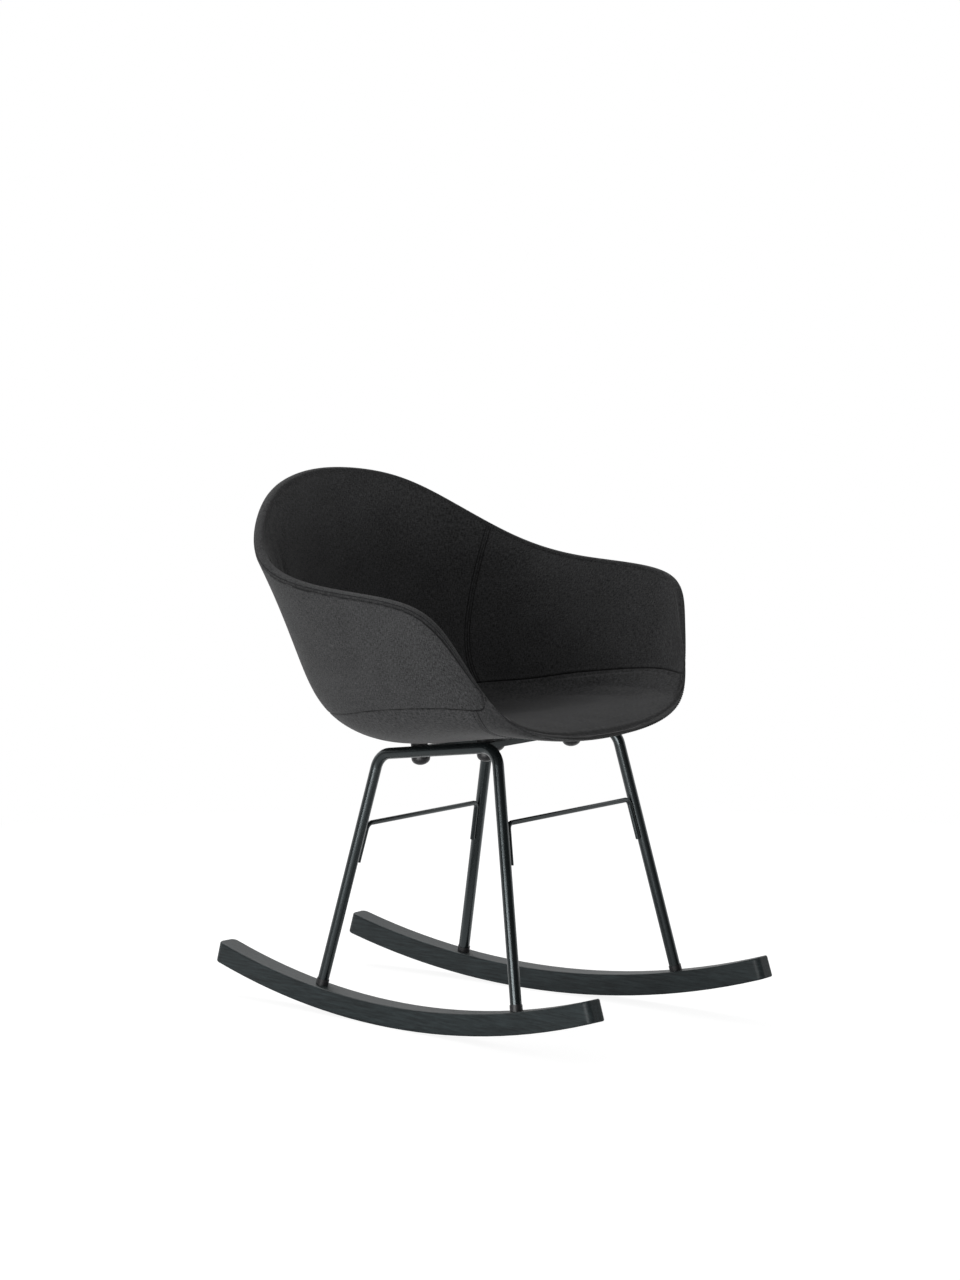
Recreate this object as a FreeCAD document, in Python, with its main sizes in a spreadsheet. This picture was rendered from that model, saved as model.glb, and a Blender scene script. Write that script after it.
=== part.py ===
import FreeCAD, Part
import math
import os
import Sketcher
from FreeCAD import Placement, Rotation, Vector

# Upholstered rocking chair. Millimetres, +Z up, the sitter faces -Y, right is -X.
# The origin is on the floor, under the middle of the two rockers.

DRIVING_SIZES = (
    ("rocker_length", 735, "rocker from end to end"),
    ("rocker_width", 33, "rocker across"),
    ("rocker_height", 31, "rocker from underside to top"),
    ("rocker_radius", 1270, "radius of the rocker's underside"),
    ("rocker_low_point", 23.7, "how far the rocker touches the floor behind its middle"),
    ("rocker_spread", 169, "chair's middle plane to a rocker's middle"),
    ("rocker_end_round", 9, "rounding of the upright edges at a rocker's ends"),
    ("rocker_edge_round", 2.5, "rounding of a rocker's long edges"),
    ("toe_angle", 3.85, "how far each side turns out towards the front, in degrees"),
    ("frame_lean", 7, "how far each side frame leans in at the top, in degrees"),
    ("tube_diameter", 16, "side frame tube, outside"),
    ("tube_wall", 2, "side frame tube, wall"),
    ("tube_bend", 28, "radius of the tube's bends at its middle line"),
    ("rear_foot_back", 162, "where the rear leg meets the rocker, behind its middle"),
    ("front_foot_fore", 214, "where the front leg meets the rocker, before its middle"),
    ("rear_bend_back", 113, "rear bend behind the middle of the cross bars"),
    ("front_bend_fore", 112, "front bend before the middle of the cross bars"),
    ("socket_depth", 14, "how deep a leg stands in its rocker"),
    ("ferrule_wall", 0.9, "wall of the sleeve on a leg's end"),
    ("ferrule_show", 8.5, "how much of the sleeve shows above the rocker"),
    ("plug_length", 22, "threaded plug inside a leg's end"),
    ("leg_bolt_diameter", 8, "bolt from the rocker into the leg"),
    ("leg_bolt_reach", 14, "how far that bolt goes into the plug"),
    ("leg_bolt_head", 13, "diameter of that bolt's head"),
    ("leg_bolt_head_height", 5, "height of that bolt's head"),
    ("leg_washer_diameter", 17, "washer under that bolt's head"),
    ("leg_washer_thick", 1.6, "thickness of that washer"),
    ("leg_web", 8, "wood between the leg's end and the washer"),
    ("hole_clearance", 0.5, "room across a bolt, washer or boss in its hole"),
    ("rod_diameter", 7, "stretcher rod"),
    ("rod_bend", 9, "radius of a stretcher's bends at its middle line"),
    ("rod_tail", 58, "turned-down end of a stretcher"),
    ("rear_rod_up", 273, "rear stretcher above the floor"),
    ("front_rod_up", 303, "front stretcher above the floor"),
    ("seat_height", 393, "top of the cross bars above the floor"),
    ("seat_fore", 28, "middle of the cross bars before the rockers' middle"),
    ("seat_tilt", 8.2, "how far the seat leans back, in degrees"),
    ("rear_bar_back", 70.5, "rear cross bar behind the seat's middle"),
    ("front_bar_fore", 60.5, "front cross bar before the seat's middle"),
    ("bar_width", 30, "cross bar, front to back"),
    ("bar_thick", 8, "cross bar thickness"),
    ("rear_bolt_pitch", 166, "seat bolt to seat bolt along the rear cross bar"),
    ("front_bolt_pitch", 190, "seat bolt to seat bolt along the front cross bar"),
    ("seat_bolt_diameter", 6, "seat bolt"),
    ("seat_bolt_reach", 7, "how far a seat bolt goes into its insert"),
    ("seat_bolt_head", 10, "diameter of a seat bolt's head"),
    ("seat_bolt_head_height", 4, "height of a seat bolt's head"),
    ("spacer_diameter", 24, "rubber spacer between cross bar and shell"),
    ("spacer_height", 2, "height of that spacer"),
    ("cap_diameter", 26.5, "domed cap over a seat bolt's head"),
    ("cap_skirt", 8.5, "straight part of that cap"),
    ("cap_dome", 9.5, "height of that cap's flattened dome"),
    ("insert_diameter", 9, "threaded insert in the shell's boss"),
    ("insert_length", 8, "length of that insert"),
    ("boss_diameter", 24, "boss under the shell for a seat bolt"),
    ("pan_up", 20.5, "flat of the seat above the cross bars"),
    ("pad_thick", 9, "seat, back and arm pads"),
    ("shell_thick", 4, "moulded shell"),
    ("cover_thick", 2.5, "outer and bottom covers"),
    ("welt_width", 6, "how far the rim welt stands past the shell's edge"),
    ("flat_half_width", 92, "flat middle of the seat, half across"),
    ("flat_half_depth", 87, "flat middle of the seat, half front to back"),
    ("pan_half_width", 158, "seat pan round that flat, half across"),
    ("pan_half_depth", 147, "seat pan round that flat, half front to back"),
    ("pan_back", 10, "middle of the seat pan behind the middle of the cross bars"),
    ("wall_share", 0.47, "where the walls' middle guide lies between foot and rim"),
    ("corner_flare", 38, "how far the walls draw in below the rim at the back corners"),
    ("back_seam_share", 0.34625, "seams between back and arms, as a share of the way from back to lip"),
    ("front_seam_share", 0.9125, "front ends of the arm pads, as a share of that way"),
    ("seat_seam_share", 0.56, "seat seam, as a share of the way from the flat to the rim"),
    ("bottom_seam_share", 0.46, "seam of the bottom cover, as a share of that way"),
)

# Guide points of the bucket's right half, from the middle of the back round to the front lip:
# across, back and up from the middle of the cross bars' top, in the seat's tilt.
STATIONS = ("back", "nape", "shoulder", "corner", "elbow", "arm", "hand", "knee", "lip")
FOOT_GUIDE = (
    (0, 222, 27),
    (87, 218, 34),
    (137, 209, 66),
    (169, 188, 60),
    (215, 104, 38),
    (235, -50, 29),
    (234, -166, 27),
    (157, -218, 9),
    (0, -226, -19),
)
RIM_GUIDE = (
    (0, 267, 408),
    (95, 248, 396),
    (174, 226, 366),
    (277, 164, 276),
    (273, 37, 233),
    (288, -138, 209),
    (245, -155, 142),
    (209, -203, 0),
    (0, -203, -12),
)
# How much of the corner flare each station of the walls takes.
FLARE_WEIGHTS = (0, 0, 0.5, 1, 0.5, 0.2, 0, 0, 0)
COLUMNS = 2 * (len(STATIONS) - 1)
RIGHT = -1
LEFT = 1
SIDES = ((RIGHT, "right"), (LEFT, "left"))

doc = FreeCAD.newDocument("rocking_chair")
sheet = doc.addObject("Spreadsheet::Sheet", "Sizes")
nodes = []


# The spreadsheet


def guide_sizes(guide, points):
    rows = []
    for station, point in zip(STATIONS, points):
        for way, value in zip(("across", "back", "up"), point):
            if way != "across" or value:
                rows.append((f"{guide}_{station}_{way}", value, f"{guide} guide at the {station}, {way}"))
    return tuple(rows)


def fill_sheet():
    rows = DRIVING_SIZES + guide_sizes("foot", FOOT_GUIDE) + guide_sizes("rim", RIM_GUIDE)
    for line, (alias, value, note) in enumerate(rows, start=1):
        sheet.set(f"A{line}", note)
        sheet.set(f"B{line}", str(value))
        sheet.setAlias(f"B{line}", alias)
    doc.recompute()


def size(alias):
    return float(getattr(sheet, alias))


# Small helpers


def bind(thing, **expressions):
    for name, expression in expressions.items():
        thing.setExpression(name, expression)
    return thing


def in_sizes(text):
    """Writes the sheet's name before every alias in an expression."""
    words = text.replace("(", "( ").replace(")", " )").split()
    return "".join(f"Sizes.{word}" if word[0].isalpha() else word for word in words)


def cylinder(name, radius, height, placement):
    """Turned shape standing on its placement; a height read off the model is given as a number."""
    thing = doc.addObject("Part::Cylinder", name)
    bind(thing, Radius=in_sizes(radius))
    if isinstance(height, str):
        bind(thing, Height=in_sizes(height))
    else:
        thing.Height = height
    thing.Placement = placement
    return thing


def fuse(name, shapes):
    thing = doc.addObject("Part::MultiFuse", name)
    thing.Shapes = shapes
    return thing


def cut(name, base, tool):
    thing = doc.addObject("Part::Cut", name)
    thing.Base = base
    thing.Tool = tool
    return thing


def node(thing, label):
    thing.Label = label
    nodes.append(thing)
    return thing


def group(label, base, placements):
    """Alike pieces in one node: copies of one shape, each a solid of its own."""
    doc.recompute()
    shape = base.Shape.copy()
    shape.Placement = Placement()
    thing = doc.addObject("Part::Feature", label)
    thing.Shape = Part.makeCompound([shape.transformed(place.toMatrix()) for place in placements])
    return node(thing, label)


def plane_of(body, role):
    return next(part for part in body.Origin.OriginFeatures if part.Role == role)


def sketch_on(body, name, role):
    sketch = body.newObject("Sketcher::SketchObject", name)
    sketch.AttachmentSupport = (plane_of(body, role), [""])
    sketch.MapMode = "FlatFace"
    return sketch


def constrain(sketch, expression, *constraint):
    """Adds a dimension to a sketch and ties it to the sheet."""
    index = sketch.addConstraint(Sketcher.Constraint(*constraint))
    sketch.setExpression(f"Constraints[{index}]", in_sizes(expression))


def along(start, end):
    """Placement at start with Z towards end."""
    return Placement(start, Rotation(Vector(0, 0, 1), end - start))


# Where things are


def seat_frame():
    """Middle of the cross bars' top, leaning back with the seat."""
    middle = Vector(0, -size("seat_fore"), size("seat_height"))
    return Placement(middle, Rotation(Vector(1, 0, 0), -size("seat_tilt")))


def rocker_place(side):
    turn = Rotation(Vector(0, 0, 1), side * size("toe_angle"))
    return Placement(Vector(side * size("rocker_spread"), 0, 0), turn)


def frame_place(side):
    """Plane of a side frame: Y back along the rocker, Z up the lean, from the rocker's top."""
    lean = Rotation(Vector(0, 1, 0), -side * size("frame_lean"))
    up = Placement(Vector(0, 0, size("rocker_height")), Rotation())
    return rocker_place(side) * up * Placement(Vector(), lean)


def rocker_top(back):
    """Height of a rocker's top surface at a place along it."""
    radius = size("rocker_radius")
    return radius - math.sqrt((radius - size("rocker_height")) ** 2 - (back - size("rocker_low_point")) ** 2)


def frame_corners():
    """Rear foot, rear bend, front bend and front foot in a side frame's plane."""
    lean = math.radians(size("frame_lean"))
    toe = math.radians(size("toe_angle"))

    def foot(back):
        return Vector(0, back, (rocker_top(back) - size("rocker_height")) / math.cos(lean))

    def bend(back):
        place = seat_frame().multVec(Vector(0, back, -size("bar_thick") / 2))
        up = (place.z - size("rocker_height")) / math.cos(lean)
        return Vector(0, (place.y + up * math.sin(lean) * math.sin(toe)) / math.cos(toe), up)

    return (
        foot(size("rear_foot_back")),
        bend(size("rear_bend_back")),
        bend(-size("front_bend_fore")),
        foot(-size("front_foot_fore")),
    )


def legs(side):
    """Foot and bend of the rear and the front leg."""
    rear_foot, rear_bend, front_bend, front_foot = (
        frame_place(side).multVec(corner) for corner in frame_corners()
    )
    return (rear_foot, rear_bend), (front_foot, front_bend)


def leg_ends():
    """A placement at the end of each leg in its socket, with Z up the leg."""
    places = []
    for side, _ in SIDES:
        for foot, bend in legs(side):
            up = (bend - foot).normalize()
            places.append(along(foot - up * size("socket_depth"), bend))
    return places


def cross_bars():
    """Each cross bar's word, its place behind the seat's middle and the pitch of its bolts."""
    return (
        ("rear", size("rear_bar_back"), size("rear_bolt_pitch")),
        ("front", -size("front_bar_fore"), size("front_bolt_pitch")),
    )


def seat_bolts():
    """A placement at each seat bolt on the cross bars' top."""
    places = []
    for _, back, pitch in cross_bars():
        for side, _ in SIDES:
            spot = Vector(side * pitch / 2, back, 0)
            places.append(seat_frame() * Placement(spot, Rotation()))
    return places


# Rockers


def make_rocker(side, word):
    body = doc.addObject("PartDesign::Body", f"rocker_blank_{word}")
    sketch = sketch_on(body, f"rocker_outline_{word}", "YZ_Plane")
    radius = size("rocker_radius")
    low = size("rocker_low_point")
    half = size("rocker_length") / 2
    centre = Vector(low, radius, 0)
    down = -math.pi / 2
    start = down - math.asin((half + low) / radius)
    end = down + math.asin((half - low) / radius)
    top_radius = radius - size("rocker_height")
    arcs = [
        sketch.addGeometry(Part.ArcOfCircle(Part.Circle(centre, Vector(0, 0, 1), arc_radius), start, end))
        for arc_radius in (radius, top_radius)
    ]
    under, top = arcs
    lines = []
    for angle in (start, end):
        ray = Vector(math.cos(angle), math.sin(angle), 0)
        lines.append(sketch.addGeometry(Part.LineSegment(centre + ray * radius, centre + ray * top_radius)))
    for tip, line in enumerate(lines, start=1):
        sketch.addConstraint(Sketcher.Constraint("Coincident", under, tip, line, 1))
        sketch.addConstraint(Sketcher.Constraint("Coincident", top, tip, line, 2))
        sketch.addConstraint(Sketcher.Constraint("PointOnObject", under, 3, line))
    sketch.addConstraint(Sketcher.Constraint("Coincident", under, 3, top, 3))
    constrain(sketch, "rocker_radius", "Radius", under, radius)
    constrain(sketch, "rocker_radius - rocker_height", "Radius", top, top_radius)
    constrain(sketch, "rocker_low_point", "DistanceX", -1, 1, under, 3, low)
    constrain(sketch, "rocker_radius", "DistanceY", -1, 1, under, 3, radius)
    constrain(sketch, "rocker_length / 2", "DistanceX", under, 1, -1, 1, half)
    constrain(sketch, "rocker_length / 2", "DistanceX", -1, 1, under, 2, half)
    pad = body.newObject("PartDesign::Pad", f"rocker_plank_{word}")
    pad.Profile = sketch
    pad.SideType = "Symmetric"
    bind(pad, Length=in_sizes("rocker_width"))
    doc.recompute()

    def reach(vertex):
        return math.hypot(vertex.Y - low, vertex.Z - radius)

    def edges_of(feature, test):
        return (feature, [f"Edge{i}" for i, edge in enumerate(feature.Shape.Edges, start=1) if test(edge)])

    def upright(edge):
        first, last = (reach(vertex) for vertex in edge.Vertexes[:2])
        return abs(first - last) > size("rocker_height") / 2

    ends = body.newObject("PartDesign::Fillet", f"rocker_ends_{word}")
    ends.Base = edges_of(pad, upright)
    bind(ends, Radius=in_sizes("rocker_end_round"))
    doc.recompute()
    rim = body.newObject("PartDesign::Fillet", f"rocker_edges_{word}")
    rim.Base = edges_of(ends, lambda edge: not upright(edge))
    bind(rim, Radius=in_sizes("rocker_edge_round"))
    body.Placement = rocker_place(side)
    return body


def bore_rocker(side, word, blank):
    """Two sockets for the legs, each with a bolt hole and a recess for the bolt's head below."""
    tools = []
    for leg, (foot, bend) in zip(("rear", "front"), legs(side)):
        name = f"{leg}_{word}"
        up = (bend - foot).normalize()
        end = along(foot - up * size("socket_depth"), bend)
        below = Placement(Vector(0, 0, -size("leg_web") - size("rocker_height")), Rotation())
        tools.append(
            cylinder(
                f"socket_{name}",
                "tube_diameter / 2 + ferrule_wall",
                "socket_depth + rocker_height",
                end,
            )
        )
        tools.append(
            cylinder(
                f"bolt_hole_{name}",
                "leg_bolt_diameter / 2 + hole_clearance / 2",
                "leg_web + rocker_height + socket_depth",
                end * below,
            )
        )
        tools.append(
            cylinder(
                f"head_recess_{name}",
                "leg_washer_diameter / 2 + hole_clearance / 2",
                "rocker_height",
                end * below,
            )
        )
    rocker = cut(f"rocker_{word}_bored", blank, fuse(f"rocker_tools_{word}", tools))
    return node(rocker, f"rocker_{word}")


# Bent tubes and rods


def rounded_path(sketch, corners, bend, bend_alias):
    """Straight runs joined by tangent arcs of one bend radius."""
    tips = [corners[0]]
    arcs = []
    for before, corner, after in zip(corners, corners[1:], corners[2:]):
        back = (before - corner).normalize()
        ahead = (after - corner).normalize()
        half_turn = (math.pi - back.getAngle(ahead)) / 2
        cut_back = bend * math.tan(half_turn)
        centre = corner + (back + ahead).normalize() * (bend / math.cos(half_turn))
        tips += [corner + back * cut_back, corner + ahead * cut_back]
        arcs.append((centre, back.cross(ahead).z < 0))
    tips.append(corners[-1])
    lines = [
        sketch.addGeometry(Part.LineSegment(tips[i], tips[i + 1])) for i in range(0, len(tips), 2)
    ]
    for i, (centre, left_turn) in enumerate(arcs):
        first, last = tips[2 * i + 1], tips[2 * i + 2]
        start, end = (first, last) if left_turn else (last, first)
        angles = [math.atan2(tip.y - centre.y, tip.x - centre.x) for tip in (start, end)]
        circle = Part.Circle(centre, Vector(0, 0, 1), bend)
        arc = sketch.addGeometry(Part.ArcOfCircle(circle, *angles))
        start_tip, end_tip = (1, 2) if left_turn else (2, 1)
        sketch.addConstraint(Sketcher.Constraint("Tangent", lines[i], 2, arc, start_tip))
        sketch.addConstraint(Sketcher.Constraint("Tangent", lines[i + 1], 1, arc, end_tip))
        constrain(sketch, bend_alias, "Radius", arc, bend)


def bent_round(name, role, corners, bend_alias, diameters):
    """A round bar or tube along a path of straight runs and bends."""
    body = doc.addObject("PartDesign::Body", name)
    path = sketch_on(body, f"{name}_path", role)
    rounded_path(path, corners, size(bend_alias), bend_alias)
    doc.recompute()
    ring = body.newObject("Sketcher::SketchObject", f"{name}_section")
    ring.AttachmentSupport = (path, ["Edge1"])
    ring.MapMode = "NormalToEdge"
    for expression, value in diameters:
        circle = ring.addGeometry(Part.Circle(Vector(), Vector(0, 0, 1), value / 2))
        ring.addConstraint(Sketcher.Constraint("Coincident", circle, 3, -1, 1))
        constrain(ring, expression, "Diameter", circle, value)
    pipe = body.newObject("PartDesign::AdditivePipe", f"{name}_pipe")
    pipe.Profile = ring
    pipe.Spine = (path, [f"Edge{i}" for i in range(1, len(path.Shape.Edges) + 1)])
    return body


def make_side_frame(side, word):
    rear_foot, rear_bend, front_bend, front_foot = frame_corners()
    depth = size("socket_depth")
    rear_end = rear_foot + (rear_foot - rear_bend).normalize() * depth
    front_end = front_foot + (front_foot - front_bend).normalize() * depth
    corners = [Vector(p.y, p.z, 0) for p in (rear_end, rear_bend, front_bend, front_end)]
    outside = size("tube_diameter")
    bore = outside - 2 * size("tube_wall")
    diameters = (("tube_diameter", outside), ("tube_diameter - 2 * tube_wall", bore))
    body = bent_round(f"tube_{word}", "YZ_Plane", corners, "tube_bend", diameters)
    body.Placement = frame_place(side)
    return node(body, f"side_frame_{word}")


def make_stretcher(word, index, height):
    """Rod across the chair whose turned-down ends run down the inner sides of two legs."""
    foot, bend = legs(RIGHT)[index]
    up = (bend - foot).normalize()
    inward = frame_place(RIGHT).Rotation.multVec(Vector(1, 0, 0))
    apart = (size("tube_diameter") + size("rod_diameter")) / 2
    top = foot + up * ((height - foot.z) / up.z) + inward * apart
    tail = top - up * size("rod_tail")
    rise = math.hypot(top.y - tail.y, top.z - tail.z)
    corners = [Vector(tail.x, -rise, 0), Vector(top.x, 0, 0), Vector(-top.x, 0, 0), Vector(-tail.x, -rise, 0)]
    diameters = (("rod_diameter", size("rod_diameter")),)
    body = bent_round(f"rod_{word}", "XZ_Plane", corners, "rod_bend", diameters)
    slope = math.degrees(math.atan2(tail.y - top.y, top.z - tail.z))
    body.Placement = Placement(Vector(0, top.y, top.z), Rotation(Vector(1, 0, 0), slope))
    return node(body, f"{word}_stretcher")


def make_cross_bar(word, back, pitch):
    """Flat bar across the chair, coped to the side tubes and drilled for two seat bolts."""
    tubes = []
    for side, side_word in SIDES:
        (_, rear_bend), (_, front_bend) = legs(side)
        tubes.append((side_word, front_bend, rear_bend))
    share = (back + size("front_bend_fore")) / (size("rear_bend_back") + size("front_bend_fore"))
    _, front, rear = tubes[0]
    half = abs((front + (rear - front) * share).x)
    flat = doc.addObject("Part::Box", f"{word}_bar_flat")
    flat.Length = 2 * half
    bind(flat, Width=in_sizes("bar_width"), Height=in_sizes("bar_thick"))
    corner = Vector(-half, back - size("bar_width") / 2, -size("bar_thick"))
    flat.Placement = seat_frame() * Placement(corner, Rotation())
    tools = []
    for side_word, front_bend, rear_bend in tubes:
        length = (rear_bend - front_bend).Length
        place = along(front_bend, rear_bend)
        tools.append(cylinder(f"{word}_cope_{side_word}", "tube_diameter / 2", length, place))
    for side, side_word in SIDES:
        spot = Vector(side * pitch / 2, back, -2 * size("bar_thick"))
        tools.append(
            cylinder(
                f"{word}_bolt_hole_{side_word}",
                "seat_bolt_diameter / 2 + hole_clearance / 2",
                "3 * bar_thick",
                seat_frame() * Placement(spot, Rotation()),
            )
        )
    return node(cut(f"{word}_bar_cut", flat, fuse(f"{word}_bar_tools", tools)), f"{word}_cross_bar")


# Fasteners and small turned pieces, each made once about its own axis and set in its places


def ring(name, outer, inner, height):
    """A plain turned ring standing on its own origin."""
    wall = cylinder(f"{name}_wall", outer, height, Placement())
    hole = cylinder(f"{name}_hole", inner, height, Placement())
    return cut(name, wall, hole)


def make_leg_fixings():
    ends = leg_ends()
    sleeve = ring(
        "sleeve", "tube_diameter / 2 + ferrule_wall", "tube_diameter / 2", "socket_depth + ferrule_show"
    )
    group("leg_ferrules", sleeve, ends)
    plug = ring(
        "plug", "tube_diameter / 2 - tube_wall", "leg_bolt_diameter / 2", "plug_length"
    )
    group("leg_thread_plugs", plug, ends)
    washer = ring(
        "washer", "leg_washer_diameter / 2", "leg_bolt_diameter / 2 + hole_clearance / 2", "leg_washer_thick"
    )
    down = -size("leg_web") - size("leg_washer_thick")
    group("rocker_bolt_washers", washer, [end * Placement(Vector(0, 0, down), Rotation()) for end in ends])
    head = cylinder("leg_bolt_top", "leg_bolt_head / 2", "leg_bolt_head_height", Placement())
    shank = cylinder(
        "leg_bolt_shank",
        "leg_bolt_diameter / 2",
        "leg_bolt_head_height + leg_washer_thick + leg_web + leg_bolt_reach",
        Placement(),
    )
    down -= size("leg_bolt_head_height")
    bolt = fuse("leg_bolt", [head, shank])
    group("rocker_bolts", bolt, [end * Placement(Vector(0, 0, down), Rotation()) for end in ends])


def make_seat_fixings():
    bolts = seat_bolts()
    spacer = ring(
        "spacer", "spacer_diameter / 2", "seat_bolt_diameter / 2 + hole_clearance / 2", "spacer_height"
    )
    group("seat_spacers", spacer, bolts)
    insert = ring("insert", "insert_diameter / 2", "seat_bolt_diameter / 2", "insert_length")
    raise_insert = Placement(Vector(0, 0, size("spacer_height")), Rotation())
    group("shell_inserts", insert, [bolt * raise_insert for bolt in bolts])
    head = cylinder("seat_bolt_top", "seat_bolt_head / 2", "seat_bolt_head_height", Placement())
    shank = cylinder(
        "seat_bolt_shank",
        "seat_bolt_diameter / 2",
        "seat_bolt_head_height + bar_thick + spacer_height + seat_bolt_reach",
        Placement(),
    )
    under_bar = -size("bar_thick")
    lower_bolt = Placement(Vector(0, 0, under_bar - size("seat_bolt_head_height")), Rotation())
    group("seat_bolts", fuse("seat_bolt", [head, shank]), [bolt * lower_bolt for bolt in bolts])
    skirt = cylinder("cap_body", "cap_diameter / 2", "cap_skirt", Placement())
    dome = doc.addObject("Part::Ellipsoid", "cap_dome")
    bind(dome, Radius1=in_sizes("cap_dome"), Radius2=in_sizes("cap_diameter / 2"))
    dome.Angle1 = -90
    dome.Angle2 = 0
    hollow = cylinder(
        "cap_hollow",
        "seat_bolt_head / 2",
        "seat_bolt_head_height",
        Placement(Vector(0, 0, size("cap_skirt") - size("seat_bolt_head_height")), Rotation()),
    )
    cap = cut("cap", fuse("cap_outside", [skirt, dome]), hollow)
    lower_cap = Placement(Vector(0, 0, under_bar - size("cap_skirt")), Rotation())
    group("seat_bolt_caps", cap, [bolt * lower_cap for bolt in bolts])


# The bucket: one net of guide points, and layers at depths below it


def ellipse_row(half_width, half_depth):
    """Guide ring on the seat's flat."""
    row = []
    for i in range(len(STATIONS)):
        angle = math.pi * i / (len(STATIONS) - 1)
        back = size("pan_back") + half_depth * math.cos(angle)
        row.append(Vector(-half_width * math.sin(angle), back, size("pan_up")))
    return row


def guide_row(guide):
    row = []
    for station in STATIONS:
        alias = f"{guide}_{station}_across"
        across = size(alias) if station not in (STATIONS[0], STATIONS[-1]) else 0
        row.append(Vector(-across, size(f"{guide}_{station}_back"), size(f"{guide}_{station}_up")))
    return row


def bucket_net():
    """Columns round the bucket from the middle of the back, each a row of points from flat to rim."""
    foot = guide_row("foot")
    rim = guide_row("rim")
    wall = []
    for low, high, weight in zip(foot, rim, FLARE_WEIGHTS):
        point = low + (high - low) * size("wall_share")
        wall.append(point + Vector(weight * size("corner_flare"), 0, 0))
    rows = (
        ellipse_row(size("flat_half_width"), size("flat_half_depth")),
        ellipse_row(size("pan_half_width"), size("pan_half_depth")),
        foot,
        wall,
        rim,
    )
    half = list(zip(*rows))
    other = [[Vector(-p.x, p.y, p.z) for p in column] for column in half[-2:0:-1]]
    place = seat_frame()
    return [[place.multVec(p) for p in column] for column in half + other]


def net_surface(net, row_knots, row_weights):
    """Cubic surface on a net, closed round the columns; station i is at parameter i."""
    surface = Part.BSplineSurface()
    rolled = net[-1:] + net[:-1]
    columns = [float(i) for i in range(COLUMNS + 1)]
    ones = [1] * (COLUMNS + 1)
    surface.buildFromPolesMultsKnots(rolled, ones, row_weights, columns, row_knots, True, False, 3, 3)
    return surface


def bucket_surface(net):
    return net_surface(net, [0.0, 0.5, 1.0], [4, 1, 4])


def layers():
    """The bucket's surfaces: top of the pads, both faces of the shell, outside of the covers."""
    net = bucket_net()
    top = bucket_surface(net)
    knots = (0, 0, 0, 0, 0.5, 1, 1, 1, 1)
    abscissae = [sum(knots[j + 1 : j + 4]) / 3 for j in range(len(net[0]))]
    normals = [[top.normal(i, t) for t in abscissae] for i in range(COLUMNS)]

    def below(depth):
        return [
            [point + normal * depth for point, normal in zip(column, ways)]
            for column, ways in zip(net, normals)
        ]

    pad = size("pad_thick")
    shell = pad + size("shell_thick")
    cover = shell + size("cover_thick")
    return [below(depth) for depth in (0, pad, shell, cover)]


def wall_between(upper, lower, kind, at, start, end):
    """Narrow face between two layers along one line of their net, straight from layer to layer."""
    lines = [surface.vIso(at) if kind == "round" else surface.uIso(at) for surface in (upper, lower)]
    pairs = [list(pair) for pair in zip(*(line.getPoles() for line in lines))]
    line = lines[0]
    face = Part.BSplineSurface()
    face.buildFromPolesMultsKnots(
        pairs, line.getMultiplicities(), [2, 2], line.getKnots(), [0.0, 1.0], line.isPeriodic(), False, 3, 1
    )
    return face.toShape(start, end, 0, 1)


def closed_solid(faces):
    shell = Part.makeCompound(faces)
    shell.sewShape()
    solid = Part.makeSolid(shell.Shells[0])
    if solid.Volume < 0:
        solid.reverse()
    return solid


def quilt(upper, lower, patches, middle):
    """Solid between two layers over patches of their net (start, end, low, high)."""
    faces = []
    borders = {}
    for start, end, low, high in patches:
        for surface in (upper, lower):
            faces.append(surface.toShape(start, end, low, high))
        for border in (
            ("round", low, start, end),
            ("round", high, start, end),
            ("up", start % COLUMNS, low, high),
            ("up", end % COLUMNS, low, high),
        ):
            borders[border] = borders.get(border, 0) + 1
    for border, uses in borders.items():
        inner = middle and border[0] == "round" and border[1] == 0
        if uses == 1 and not inner:
            faces.append(wall_between(upper, lower, *border))
    if middle:
        for surface in (upper, lower):
            ring_edges = [surface.vIso(0).toShape(a, b) for a, b, low, _ in patches if low == 0]
            faces.append(Part.Face(Part.Wire(Part.__sortEdges__(ring_edges))))
    return closed_solid(faces)


def soft(label, shape):
    thing = doc.addObject("Part::Feature", label)
    thing.Shape = shape
    return node(thing, label)


def all_round(low, high, stops):
    """Patches of one band round the whole bucket, split at the given stations."""
    half = COLUMNS / 2
    marks = [0, *stops, half]
    right = list(zip(marks, marks[1:]))
    left = [(COLUMNS - end, COLUMNS - start) for start, end in right]
    return [(start, end, low, high) for start, end in right + left]


def make_welt(label, inside, outside):
    """Rounded strip on the shell's edge, all round the rim."""
    bulge = size("welt_width") * 4 / 3
    net = []
    for inner, outer in zip(inside, outside):
        ahead = (inner[-1] - inner[-2] + outer[-1] - outer[-2]).normalize() * bulge
        net.append([inner[-1], inner[-1] + ahead, outer[-1] + ahead, outer[-1]])
    strip = net_surface(net, [0.0, 1.0], [4, 4])
    upper, lower = bucket_surface(inside), bucket_surface(outside)
    faces = []
    for start, end in ((0, COLUMNS / 2), (COLUMNS / 2, COLUMNS)):
        faces.append(strip.toShape(start, end, 0, 1))
        faces.append(wall_between(upper, lower, "round", 1, start, end))
    return soft(label, closed_solid(faces))


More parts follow.
